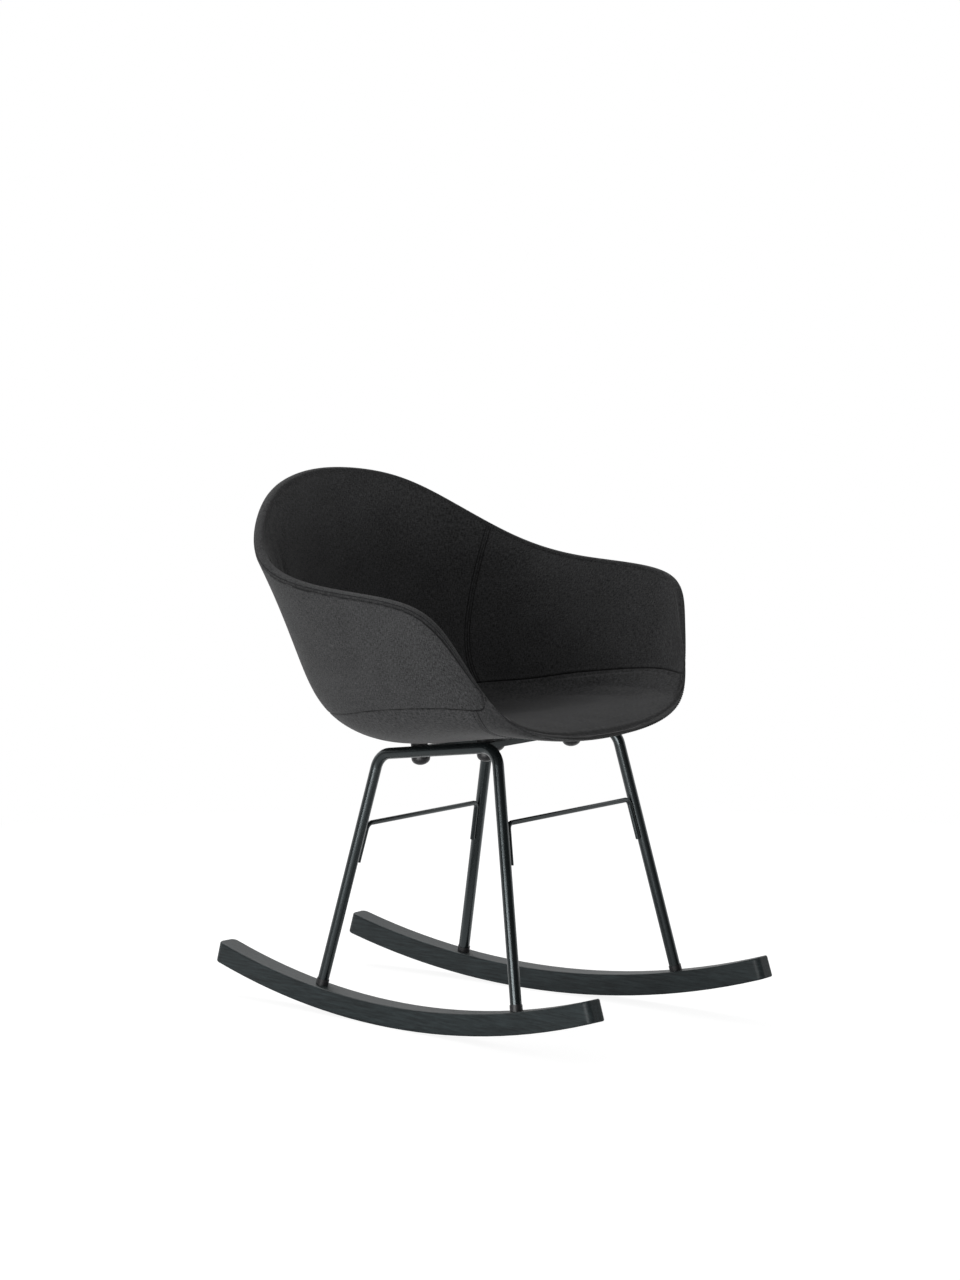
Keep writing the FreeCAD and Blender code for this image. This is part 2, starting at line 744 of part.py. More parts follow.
def make_bucket():
    nets = layers()
    top, shell_top, shell_under, outside = (bucket_surface(net) for net in nets)
    half_way = len(FOOT_GUIDE) - 1
    back, front = half_way * size("back_seam_share"), half_way * size("front_seam_share")
    seat, bottom = size("seat_seam_share"), size("bottom_seam_share")
    half = COLUMNS / 2
    ring_band = all_round(0, seat, (front,))
    lip = [(front, half, seat, 1), (half, COLUMNS - front, seat, 1)]
    soft("seat_pad", quilt(top, shell_top, ring_band + lip, True))
    back_patches = [(0, back, seat, 1), (COLUMNS - back, COLUMNS, seat, 1)]
    soft("back_pad", quilt(top, shell_top, back_patches, False))
    soft("arm_pad_right", quilt(top, shell_top, [(back, front, seat, 1)], False))
    soft("arm_pad_left", quilt(top, shell_top, [(COLUMNS - front, COLUMNS - back, seat, 1)], False))
    make_shell(shell_top, shell_under)
    soft("outer_cover", quilt(shell_under, outside, all_round(bottom, 1, ()), False))
    make_bottom_cover(quilt(shell_under, outside, all_round(0, bottom, ()), True))
    make_welt("rim_welt", nets[0], nets[-1])


def make_shell(upper, lower):
    """Moulded shell with four bosses for the seat bolts."""
    bucket = doc.addObject("Part::Feature", "shell_bucket")
    bucket.Shape = quilt(upper, lower, all_round(0, 1, ()), True)
    bosses = []
    bores = []
    for i, bolt in enumerate(seat_bolts()):
        foot = bolt * Placement(Vector(0, 0, size("spacer_height")), Rotation())
        into_shell = upper.value(*upper.parameter(bolt.Base))
        height = foot.inverse().multVec(into_shell).z - size("shell_thick") / 2
        bosses.append(cylinder(f"boss_{i}", "boss_diameter / 2", height, foot))
        bores.append(cylinder(f"insert_bore_{i}", "insert_diameter / 2", "insert_length", foot))
    whole = fuse("shell_with_bosses", [bucket, *bosses])
    return node(cut("shell_bored", whole, fuse("shell_bores", bores)), "seat_shell")


def make_bottom_cover(shape):
    panel = doc.addObject("Part::Feature", "bottom_panel")
    panel.Shape = shape
    holes = [
        cylinder(f"boss_hole_{i}", "boss_diameter / 2 + hole_clearance / 2", "pan_up", bolt)
        for i, bolt in enumerate(seat_bolts())
    ]
    return node(cut("bottom_panel_cut", panel, fuse("boss_holes", holes)), "bottom_cover")


# Build, check and write


def check_document():
    doc.recompute()
    for thing in doc.Objects:
        if "Invalid" in thing.State or "Error" in thing.State:
            raise RuntimeError(f"{thing.Label} did not compute")
    for thing in nodes:
        if thing.Shape.isNull() or not thing.Shape.isValid() or not thing.Shape.Solids:
            raise RuntimeError(f"{thing.Label} is not a valid solid")


def write_parts():
    os.makedirs("parts", exist_ok=True)
    for thing in nodes:
        thing.Shape.exportStep(f"parts/{thing.Label}.step")


fill_sheet()
for side, word in SIDES:
    bore_rocker(side, word, make_rocker(side, word))
    make_side_frame(side, word)
make_stretcher("rear", 0, size("rear_rod_up"))
make_stretcher("front", 1, size("front_rod_up"))
for bar, place, bolt_pitch in cross_bars():
    make_cross_bar(bar, place, bolt_pitch)
make_leg_fixings()
make_seat_fixings()
make_bucket()
check_document()
write_parts()
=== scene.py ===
import logging
import math
from dataclasses import dataclass, field
from enum import Enum
from typing import Callable, Optional, Sequence, Union

import bpy
import numpy as np
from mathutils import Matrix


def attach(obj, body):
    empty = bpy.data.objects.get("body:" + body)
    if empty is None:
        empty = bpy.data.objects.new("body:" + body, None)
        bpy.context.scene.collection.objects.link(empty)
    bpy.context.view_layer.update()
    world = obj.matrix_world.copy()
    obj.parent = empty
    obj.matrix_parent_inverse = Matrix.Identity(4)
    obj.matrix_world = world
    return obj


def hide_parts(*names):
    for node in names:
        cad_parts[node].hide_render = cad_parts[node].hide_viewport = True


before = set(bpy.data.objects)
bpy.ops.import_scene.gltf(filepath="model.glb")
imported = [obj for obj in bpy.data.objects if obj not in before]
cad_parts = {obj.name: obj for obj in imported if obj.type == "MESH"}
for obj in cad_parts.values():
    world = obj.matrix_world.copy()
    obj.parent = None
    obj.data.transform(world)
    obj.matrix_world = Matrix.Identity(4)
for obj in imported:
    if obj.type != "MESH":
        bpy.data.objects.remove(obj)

log = logging.getLogger("rocking_chair")
MM = 0.001
BODY = "root"
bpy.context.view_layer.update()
RIM_POINTS = 4000
PATCH_POINTS = 3000
ROW_POINTS = 900
CLIMB_POINTS = 400
Array = np.ndarray
Row = tuple[Array, Array]
Colour = tuple[float, float, float]


class Layer(Enum):
    """Faces of the bucket, by their depth below the fabric that the sitter touches."""

    SEATING = 0.0
    PAD_BACK = 8.8
    COVER_BACK = 13.2
    OUTSIDE = 15.5


class Facing(Enum):
    """Which way a panel's fabric swells from its layer."""

    INWARD = -1.0
    OUTWARD = 1.0


# Shader graphs


class Term:
    """A value socket that takes part in Python arithmetic."""

    def __init__(self, graph: "Graph", socket: bpy.types.NodeSocket) -> None:
        """Wraps one output socket of a graph."""
        self.graph = graph
        self.socket = socket

    def _math(self, operation: str, first: "Operand", second: "Operand") -> "Term":
        """Adds a Math node for one operation."""
        made = self.graph.node("ShaderNodeMath", {"operation": operation}, {0: first, 1: second})
        return Term(self.graph, made.outputs[0])

    def __add__(self, other: "Operand") -> "Term":
        """self + other"""
        return self._math("ADD", self, other)

    def __radd__(self, other: "Operand") -> "Term":
        """other + self"""
        return self._math("ADD", other, self)

    def __sub__(self, other: "Operand") -> "Term":
        """self - other"""
        return self._math("SUBTRACT", self, other)

    def __rsub__(self, other: "Operand") -> "Term":
        """other - self"""
        return self._math("SUBTRACT", other, self)

    def __mul__(self, other: "Operand") -> "Term":
        """self * other"""
        return self._math("MULTIPLY", self, other)

    def __rmul__(self, other: "Operand") -> "Term":
        """other * self"""
        return self._math("MULTIPLY", other, self)

    def __truediv__(self, other: "Operand") -> "Term":
        """self / other"""
        return self._math("DIVIDE", self, other)

    def __rtruediv__(self, other: "Operand") -> "Term":
        """other / self"""
        return self._math("DIVIDE", other, self)

    def wave(self) -> "Term":
        """Sine of the value, in radians."""
        return self._math("SINE", self, 0.0)

    def size(self) -> "Term":
        """Value without its sign."""
        return self._math("ABSOLUTE", self, 0.0)

    def clamped(self) -> "Term":
        """Value kept between 0 and 1."""
        made = self.graph.node("ShaderNodeClamp", None, {0: self})
        return Term(self.graph, made.outputs[0])

    def least(self, other: "Operand") -> "Term":
        """The smaller of two values."""
        return self._math("MINIMUM", self, other)

    def bell(self, middle: float, width: float) -> "Term":
        """One near a middle value, falling off as one over one plus the fourth power of the distance."""
        off = (self - middle) / width
        square = off * off
        return 1.0 / (square * square + 1.0)


Operand = Union[Term, float]
Link = Union[Term, bpy.types.NodeSocket, float, Sequence[float]]


class Graph:
    """A material's node tree, built from expressions."""

    def __init__(self, name: str, tree: Optional[bpy.types.NodeTree] = None) -> None:
        """Starts an empty material, or clears a tree that is given.

        Args:
            name: the material's name.
            tree: a node tree that isn't a material's.
        """
        if tree is None:
            self.material = bpy.data.materials.new(name)
            self.material.use_nodes = True
            tree = self.material.node_tree
        self.tree = tree
        self.tree.nodes.clear()

    def node(
        self, kind: str, settings: Optional[dict] = None, sockets: Optional[dict] = None
    ) -> bpy.types.Node:
        """Adds any node.

        Args:
            kind: the node's type.
            settings: its properties, set first; "stops" are a ramp's (place, colour) pairs.
            sockets: values or links of its inputs, by name or number.

        Returns:
            The new node.
        """
        made = self.tree.nodes.new(kind)
        for name, value in (settings or {}).items():
            if name == "stops":
                self._set_stops(made.color_ramp, value)
            else:
                setattr(made, name, value)
        for name, value in (sockets or {}).items():
            self.join(value, made.inputs[name])
        return made

    @staticmethod
    def _set_stops(ramp: bpy.types.ColorRamp, stops: Sequence[tuple]) -> None:
        """Gives a ramp its stops; a new ramp has two."""
        while len(ramp.elements) < len(stops):
            ramp.elements.new(1.0)
        for element, (place, colour) in zip(ramp.elements, stops):
            element.position = place
            element.color = (*colour, 1.0)

    def join(self, value: Link, socket: bpy.types.NodeSocket) -> None:
        """Links a socket, or sets its value."""
        if isinstance(value, Term):
            value = value.socket
        if isinstance(value, bpy.types.NodeSocket):
            self.tree.links.new(value, socket)
        else:
            socket.default_value = value

    def noise(self, place: Link, detail: float = 2.0, roughness: float = 0.5) -> Term:
        """Cloud noise, about 0 to 1, on coordinates that are already scaled."""
        sockets = {"Vector": place, "Scale": 1.0, "Detail": detail, "Roughness": roughness}
        return Term(self, self.node("ShaderNodeTexNoise", None, sockets).outputs[0])

    def scaled(self, place: Link, scale: Sequence[float]) -> bpy.types.NodeSocket:
        """Coordinates multiplied by a scale per axis."""
        made = self.node("ShaderNodeVectorMath", {"operation": "MULTIPLY"}, {0: place, 1: scale})
        return made.outputs[0]

    def split(self, place: Link) -> tuple[Term, Term, Term]:
        """The three parts of a vector."""
        made = self.node("ShaderNodeSeparateXYZ", None, {0: place})
        return tuple(Term(self, socket) for socket in made.outputs)

    def ramp(self, value: Term, stops: Sequence[tuple]) -> bpy.types.NodeSocket:
        """Colour from a value by stops of (place, colour)."""
        return self.node("ShaderNodeValToRGB", {"stops": stops}, {0: value}).outputs[0]

    def attribute(self, name: str) -> Term:
        """A number that the mesh carries at its points."""
        return Term(self, self.node("ShaderNodeAttribute", {"attribute_name": name}).outputs["Fac"])

    def blend(self, share: Term, first: Link, second: Link) -> bpy.types.NodeSocket:
        """Colour between two colours."""
        made = self.node("ShaderNodeMix", {"data_type": "RGBA"}, {0: share, 6: first, 7: second})
        return made.outputs[2]

    def bump(self, height: Term, strength: float, distance: float) -> bpy.types.NodeSocket:
        """Normal of a height that varies over the surface."""
        sockets = {"Strength": strength, "Distance": distance, "Height": height}
        return self.node("ShaderNodeBump", None, sockets).outputs[0]

    def coordinates(self, kind: str) -> bpy.types.NodeSocket:
        """Object or UV coordinates."""
        return self.node("ShaderNodeTexCoord").outputs[kind]

    def finish(self, **sockets: Link) -> bpy.types.Material:
        """Ends the material in a Principled shader.

        Args:
            sockets: shader inputs, with _ for a space in a name.

        Returns:
            The material.
        """
        named = {name.replace("_", " "): value for name, value in sockets.items()}
        shader = self.node("ShaderNodeBsdfPrincipled", None, named)
        self.node("ShaderNodeOutputMaterial", None, {"Surface": shader.outputs[0]})
        return self.material


# Finishes


@dataclass(frozen=True)
class WovenFabric:
    """Charcoal upholstery: a plain weave of melange yarns, with painted shade darkening it along its seams
    and rows of stitches.
    """

    name: str
    dark: Colour = (0.0135, 0.0136, 0.0140)
    light: Colour = (0.074, 0.0744, 0.0762)
    pitch: float = 1.15 * MM
    slub_length: float = 6.0 * MM
    slub_width: float = 1.5 * MM
    fleck: float = 2.2 * MM
    mottle: float = 45.0 * MM
    crease_width: float = 1.1 * MM
    stitch_row: float = 3.6 * MM
    stitch_width: float = 0.65 * MM
    # Painted seam shade: the near-black colour and the weights with which it darkens seams and stitch rows.
    seam_shade_colour: Colour = (0.003, 0.003, 0.0032)
    crease_shade_weight: float = 0.85
    row_shade_weight: float = 0.62
    most_seam_shade: float = 0.9

    def build(self) -> bpy.types.Material:
        """Makes the material on the piece's own UV map, in metres, and its distances from seams.

        Returns:
            The material.
        """
        graph = Graph(self.name)
        place = graph.coordinates("UV")
        turn = math.pi / self.pitch
        across, along, _ = graph.split(graph.scaled(place, (turn, turn, 1.0)))
        warp = across.wave()
        weft = along.wave()
        crossing = warp * weft
        weave = warp.size() * 0.5 + weft.size() * 0.5
        long, wide = 1 / self.slub_length, 1 / self.slub_width
        yarns = graph.noise(graph.scaled(place, (wide, long, 1.0)), 2.0, 0.6)
        cross_yarns = graph.noise(graph.scaled(place, (long, wide, 1.0)), 2.0, 0.6)
        flecks = graph.noise(graph.scaled(place, (1 / self.fleck, 1 / self.fleck, 1.0)), 1.0)
        broad = graph.noise(graph.scaled(place, (1 / self.mottle, 1 / self.mottle, 1.0)), 1.0)
        melange = yarns * 0.9 + cross_yarns * 0.6 + flecks * 0.5 - 1.0
        shade = melange * 1.5 + crossing * 0.05 + weave * 0.2 + broad * 0.25 + 0.2
        colour = graph.ramp(shade, ((0.05, self.dark), (0.95, self.light)))
        # Painted shade: near-black is blended into the colour along seams and stitch rows, standing in for
        # the shade in their creases.
        crease = graph.attribute("crease").bell(0.0, self.crease_width)
        row = graph.attribute("topstitch").bell(self.stitch_row, self.stitch_width)
        painted_seam_shade = (crease * self.crease_shade_weight + row * self.row_shade_weight).least(self.most_seam_shade)
        height = weave * 0.5 + crossing * 0.2 + yarns * 0.35 + cross_yarns * 0.35 - row * 2.0
        return graph.finish(
            Base_Color=graph.blend(painted_seam_shade, colour, (*self.seam_shade_colour, 1.0)),
            Roughness=0.95 - weave * 0.06,
            Normal=graph.bump(height, 0.6, 0.45 * MM),
            Sheen_Weight=0.12,
            Sheen_Roughness=0.5,
            Specular_IOR_Level=0.08,
        )


@dataclass(frozen=True)
class SewingThread:
    """Black twisted thread of the topstitching."""

    name: str = "sewing_thread"
    colour: Colour = (0.010, 0.010, 0.011)
    twist: float = 0.5 * MM

    def build(self) -> bpy.types.Material:
        """Makes the material: fine bands of twist along object coordinates.

        Returns:
            The material.
        """
        graph = Graph(self.name)
        x, y, z = graph.split(graph.scaled(graph.coordinates("Object"), (math.tau / self.twist,) * 3))
        band = (x + y + z).wave() * 0.5 + 0.5
        colour = graph.ramp(band, ((0.0, self.colour), (1.0, tuple(2.2 * c for c in self.colour))))
        return graph.finish(
            Base_Color=colour,
            Roughness=0.8 - band * 0.1,
            Normal=graph.bump(band, 0.3, 0.1 * MM),
            Specular_IOR_Level=0.1,
        )


@dataclass(frozen=True)
class PowderCoat:
    """Black semi-gloss powder coat with a faint orange peel."""

    name: str = "frame_powder_coat"
    colour: Colour = (0.0030, 0.0042, 0.0044)
    peel: float = 3.0 * MM
    dust: float = 60.0 * MM

    def build(self) -> bpy.types.Material:
        """Makes the material on object coordinates.

        Returns:
            The material.
        """
        graph = Graph(self.name)
        place = graph.coordinates("Object")
        peel = graph.noise(graph.scaled(place, (1 / self.peel,) * 3), 2.0)
        broad = graph.noise(graph.scaled(place, (1 / self.dust,) * 3), 3.0)
        lighter = tuple(1.6 * c for c in self.colour)
        colour = graph.ramp(broad, ((0.3, self.colour), (0.8, lighter)))
        return graph.finish(
            Base_Color=colour,
            Roughness=0.2 + broad * 0.1,
            Normal=graph.bump(peel, 0.05, 0.1 * MM),
            Specular_IOR_Level=0.75,
            Specular_Tint=(0.86, 0.97, 1.0, 1.0),
        )


@dataclass(frozen=True)
class StainedWood:
    """Dark blue-black stain over a straight grain, satin varnished."""

    name: str = "rocker_stained_wood"
    dark: Colour = (0.0045, 0.0068, 0.0076)
    light: Colour = (0.0300, 0.0420, 0.0450)
    grain_width: float = 2.6 * MM
    grain_length: float = 160.0 * MM
    pore_width: float = 0.7 * MM
    pore_length: float = 14.0 * MM

    def build(self) -> bpy.types.Material:
        """Makes the material on object coordinates: streaks and pores run front to back, with the rocker.

        Returns:
            The material.
        """
        graph = Graph(self.name)
        place = graph.coordinates("Object")
        wide, long = 1 / self.grain_width, 1 / self.grain_length
        streaks = graph.noise(graph.scaled(place, (wide, long, wide)), 4.0, 0.62)
        fine, short = 1 / self.pore_width, 1 / self.pore_length
        pores = graph.noise(graph.scaled(place, (fine, short, fine)), 2.0, 0.6)
        shade = streaks * 0.85 + pores * 0.35 - 0.1
        colour = graph.ramp(shade, ((0.3, self.dark), (0.74, self.light)))
        return graph.finish(
            Base_Color=colour,
            Roughness=0.42 + pores * 0.16,
            Normal=graph.bump(streaks * 0.4 + pores, 0.3, 0.2 * MM),
            Specular_IOR_Level=0.35,
        )


@dataclass(frozen=True)
class Moulding:
    """Black moulded plastic or rubber with a fine matt texture."""

    name: str
    colour: Colour = (0.010, 0.010, 0.011)
    roughness: float = 0.42
    grain: float = 0.9 * MM

    def build(self) -> bpy.types.Material:
        """Makes the material on object coordinates.

        Returns:
            The material.
        """
        graph = Graph(self.name)
        grain = graph.noise(graph.scaled(graph.coordinates("Object"), (1 / self.grain,) * 3), 3.0)
        colour = graph.ramp(grain, ((0.2, self.colour), (0.9, tuple(1.6 * c for c in self.colour))))
        return graph.finish(
            Base_Color=colour,
            Roughness=grain * 0.15 + (self.roughness - 0.07),
            Normal=graph.bump(grain, 0.2, 0.2 * MM),
        )


@dataclass(frozen=True)
class PlainMetal:
    """Bare fixings: plated steel or brass, with faint turning marks."""

    name: str
    colour: Colour
    roughness: float = 0.34
    marks: float = 0.6 * MM

    def build(self) -> bpy.types.Material:
        """Makes the material on object coordinates: turning marks lie level, round the fixing.

        Returns:
            The material.
        """
        graph = Graph(self.name)
        place = graph.scaled(graph.coordinates("Object"), (60.0, 60.0, 1 / self.marks))
        marks = graph.noise(place, 2.0)
        colour = graph.ramp(marks, ((0.2, tuple(0.8 * c for c in self.colour)), (0.8, self.colour)))
        return graph.finish(
            Base_Color=colour,
            Metallic=1.0,
            Roughness=marks * 0.14 + (self.roughness - 0.07),
            Normal=graph.bump(marks, 0.1, 0.1 * MM),
        )


# Meshes


def grid_quads(rows: int, columns: int, closed: bool) -> Array:
    """Quads of a grid whose vertices are numbered row by row.

    Args:
        rows: vertices along the first parameter.
        columns: vertices along the second parameter.
        closed: whether the last row joins the first.

    Returns:
        Vertex numbers, four to a face.
    """
    first = np.arange(rows if closed else rows - 1)
    second = np.arange(columns - 1)
    a, b = np.meshgrid(first, second, indexing="ij")
    after = (a + 1) % rows
    corners = (a * columns + b, after * columns + b, after * columns + b + 1, a * columns + b + 1)
    return np.stack([corner.ravel() for corner in corners], axis=1)


def new_piece(
    name: str,
    points: Array,
    quads: Array,
    flat: Array,
    finish: bpy.types.Material,
    carried: Optional[dict[str, Array]] = None,
) -> bpy.types.Object:
    """Puts computed points and quads into a smooth mesh.

    Args:
        name: the piece's name.
        points: vertex places in metres.
        quads: vertex numbers of each face; a repeated number makes a triangle.
        flat: each vertex's place on the flat cloth, in metres.
        finish: its material.
        carried: numbers that the mesh carries at its points, by name.

    Returns:
        The linked object.
    """
    faces = [list(dict.fromkeys(quad)) for quad in quads.tolist()]
    faces = [face for face in faces if len(face) > 2]
    mesh = bpy.data.meshes.new(name)
    mesh.from_pydata(points.tolist(), [], faces)
    corners = np.empty(len(mesh.loops), dtype=np.int32)
    mesh.loops.foreach_get("vertex_index", corners)
    layer = mesh.uv_layers.new(name="cloth")
    layer.data.foreach_set("uv", flat[corners].astype(np.float32).ravel())
    mesh.polygons.foreach_set("use_smooth", np.ones(len(mesh.polygons), dtype=bool))
    for label, numbers in (carried or {}).items():
        attribute = mesh.attributes.new(label, "FLOAT", "POINT")
        attribute.data.foreach_set("value", numbers.astype(np.float32).ravel())
    mesh.materials.append(finish)
    mesh.update()
    piece = bpy.data.objects.new(name, mesh)
    bpy.context.scene.collection.objects.link(piece)
    return piece


def crowded(count: int, pull: float) -> Array:
    """Shares from 0 to 1 that crowd towards both ends: q less pull times sin(2 pi q) over 2 pi.

    Args:
        count: how many shares, both ends included.
        pull: 0 for even shares, towards 1 for crowded ones.

    Returns:
        The shares.
    """
    q = np.linspace(0.0, 1.0, count)
    return q - pull * np.sin(math.tau * q) / math.tau


def even_steps(path: Array, values: Array, shares: Array) -> Array:
    """Parameter values at given shares of the way along a path.

    Args:
        path: points along the path.
        values: the parameter at those points.
        shares: the shares of its length, from 0 to 1.

    Returns:
        The parameter values.
    """
    steps = np.linalg.norm(np.diff(path, axis=0), axis=1)
    travelled = np.concatenate([[0.0], np.cumsum(steps)])
    return np.interp(shares * travelled[-1], travelled, values)


def unit(vectors: Array) -> Array:
    """Vectors brought to a length of one."""
    return vectors / np.linalg.norm(vectors, axis=-1, keepdims=True)


def eased(stations: Sequence[float], heights: Sequence[float], at: Array) -> Array:
    """Smooth line through a few points that never overshoots between them.

    Cubic pieces whose slope at a point is the harmonic mean of the slopes beside it.

    Args:
        stations: where the points are, rising.
        heights: the line's value at each.
        at: where the line is wanted.

    Returns:
        The line's values.
    """
    x, y = np.asarray(stations, float), np.asarray(heights, float)
    gaps = np.diff(x)
    slopes = np.diff(y) / gaps
    before, after = slopes[:-1], slopes[1:]
    product = before * after
    inner = np.where(product > 0, 2 * product / np.where(product > 0, before + after, 1.0), 0.0)
    slope = np.concatenate([[0.0], inner, [slopes[-1]]])
    i = np.clip(np.searchsorted(x, at) - 1, 0, len(gaps) - 1)
    f = np.clip((at - x[i]) / gaps[i], 0.0, 1.0)
    start, end = (1 + 2 * f) * (1 - f) ** 2, f * f * (3 - 2 * f)
    rise, fall = f * (1 - f) ** 2, f * f * (f - 1)
    return start * y[i] + end * y[i + 1] + gaps[i] * (rise * slope[i] + fall * slope[i + 1])


# The bucket


@dataclass(frozen=True)
class Bucket:
    """The net of guide points that the seat's shape hangs on, in the seat's own tilt.

    Nine stations run from the middle of the back round the right side to the middle of the lip,
    and the left side mirrors them. Lengths are in millimetres until a point is placed.
    """

    seat_height: float = 393.0
    seat_fore: float = 28.0
    seat_tilt: float = 8.2
    pan_up: float = 20.5
    pan_back: float = 10.0
    flat_half: tuple[float, float] = (92.0, 87.0)
    pan_half: tuple[float, float] = (158.0, 147.0)
    wall_share: float = 0.47
    corner_flare: float = 38.0
    flare_weights: tuple[float, ...] = (0, 0, 0.5, 1, 0.5, 0.2, 0, 0, 0)
    foot: tuple[tuple[float, float, float], ...] = (
        (0, 222, 27),
        (87, 218, 34),
        (137, 209, 66),
        (169, 188, 60),
        (215, 104, 38),
        (235, -50, 29),
        (234, -166, 27),
        (157, -218, 9),
        (0, -226, -19),
    )
    rim: tuple[tuple[float, float, float], ...] = (
        (0, 267, 408),
        (95, 248, 396),
        (174, 226, 366),
        (277, 164, 276),
        (273, 37, 233),
        (288, -138, 209),
        (245, -155, 142),
        (209, -203, 0),
        (0, -203, -12),
    )
    columns: int = 16
    knots: tuple[float, ...] = (0, 0, 0, 0, 0.5, 1, 1, 1, 1)
    step: float = 0.001
    nets: dict = field(default_factory=dict, compare=False)

    def _ring(self, half: tuple[float, float]) -> Array:
        """Half an ellipse of guide points on the seat's flat."""
        angle = np.linspace(0.0, math.pi, len(self.foot))
        back = self.pan_back + half[1] * np.cos(angle)
        return np.stack([-half[0] * np.sin(angle), back, np.full_like(angle, self.pan_up)], axis=1)

    def _top_net(self) -> Array:
        """Lays out the guide points of the seating face.

        Returns:
            Points in the seat's tilt, columns by rows.
        """
        mirror = np.array([-1.0, 1.0, 1.0])
        foot, rim = np.array(self.foot) * mirror, np.array(self.rim) * mirror
        wall = foot + self.wall_share * (rim - foot)
        wall[:, 0] += self.corner_flare * np.array(self.flare_weights)
        half = np.stack([self._ring(self.flat_half), self._ring(self.pan_half), foot, wall, rim], axis=1)
        return np.concatenate([half, half[-2:0:-1] * mirror])

    def net(self, depth: float) -> Array:
        """Guide points of the face at a depth: each point moved along the face's own normal there.

        Args:
            depth: millimetres below the seating face.

        Returns:
            Points in the seat's tilt, columns by rows.
        """
        if depth not in self.nets:
            top = self._top_net()
            rows = top.shape[1]
            places = np.array([np.mean(self.knots[j + 1 : j + 4]) for j in range(rows)])
            around, up = np.meshgrid(np.arange(self.columns, dtype=float), places, indexing="ij")
            self.nets[0.0] = top
            self.nets[depth] = top + depth * self._normal(top, around, up)
        return self.nets[depth]

    def _climb(self, up: Array) -> Array:
        """Cubic weights of the rows from flat to rim, by the recursion on the knots.

        Args:
            up: shares of the way up.

        Returns:
            One weight per row, in a last axis.
        """
        knots = np.array(self.knots)
        t = np.clip(up, 0.0, 1.0 - 1e-9)[..., None]
        weight = ((t >= knots[:-1]) & (t < knots[1:])).astype(float)
        for degree in (1, 2, 3):
            low, high = knots[: -degree - 1], knots[degree + 1 :]
            near, far = knots[degree:-1] - low, high - knots[1:-degree]
            left = np.where(near > 0, (t - low) / np.where(near > 0, near, 1.0), 0.0)
            right = np.where(far > 0, (high - t) / np.where(far > 0, far, 1.0), 0.0)
            weight = left * weight[..., :-1] + right * weight[..., 1:]
        return weight

    def _surface(self, net: Array, around: Array, up: Array) -> Array:
        """Sum of guide points: closed uniform cubic weights round, clamped cubic weights up.

        Args:
            net: the guide points.
            around: stations.
            up: shares of the way up.

        Returns:
            Points in the seat's own frame.
        """
        base = np.floor(around).astype(int)
        f = around - base
        cubics = ((1 - f) ** 3, 3 * f**3 - 6 * f**2 + 4, -3 * f**3 + 3 * f**2 + 3 * f + 1, f**3)
        picked = net[(base[..., None] + np.arange(-1, 3)) % self.columns]
        return np.einsum("...k,...j,...kjc->...c", np.stack(cubics, -1) / 6, self._climb(up), picked)

    def _normal(self, net: Array, around: Array, up: Array) -> Array:
        """Unit normal away from the sitter, from central differences.

        Args:
            net: the guide points.
            around: stations.
            up: shares of the way up.

        Returns:
            Normals in the seat's own frame.
        """
        h = self.step
        ahead = self._surface(net, around + h, up) - self._surface(net, around - h, up)
        above = self._surface(net, around, np.minimum(up + h, 1.0))
        below = self._surface(net, around, np.maximum(up - h, 0.0))
        normal = np.cross(ahead, above - below)
        return normal / np.linalg.norm(normal, axis=-1, keepdims=True)

    def placed(self, local: Array) -> Array:
        """Tilts points of the seat's own frame into the chair's.

        Args:
            local: points in millimetres.

        Returns:
            Points in metres.
        """
        tilt = math.radians(self.seat_tilt)
        x, y, z = np.moveaxis(local, -1, 0)
        back = y * math.cos(tilt) + z * math.sin(tilt) - self.seat_fore
        up = z * math.cos(tilt) - y * math.sin(tilt) + self.seat_height
        return np.stack([x, back, up], axis=-1) * MM

    def local(self, around: Array, up: Array, layer: Layer) -> Array:
        """Points of a face in the seat's own frame.

        Args:
            around: stations.
            up: shares of the way up; below 0 they run over the flat to its middle at -1.
            layer: the face.

        Returns:
            Points in millimetres.
        """
        on_flat = np.clip(-up, 0.0, 1.0)[..., None]
        edge = self._surface(self.net(layer.value), around, np.maximum(up, 0.0))
        middle = edge * np.array([0.0, 0.0, 1.0]) + np.array([0.0, self.pan_back, 0.0])
        return edge + on_flat * (middle - edge)

    def normal(self, around: Array, up: Array, layer: Layer) -> Array:
        """Normals of a face in the seat's own frame."""
        return self._normal(self.net(layer.value), around, np.maximum(up, 0.0))

    def point(self, around: Array, up: Array, layer: Layer, rise: Union[Array, float] = 0.0) -> Array:
        """Points of a face in the chair's frame, moved out along its normal by a rise in millimetres."""
        lift = np.asarray(rise, float)[..., None] * self.normal(around, up, layer)
        return self.placed(self.local(around, up, layer) + lift)

    def half_station(self, around: Array) -> Array:
        """Station counted from the back on either side."""
        turn = np.mod(around, self.columns)
        return np.minimum(turn, self.columns - turn)


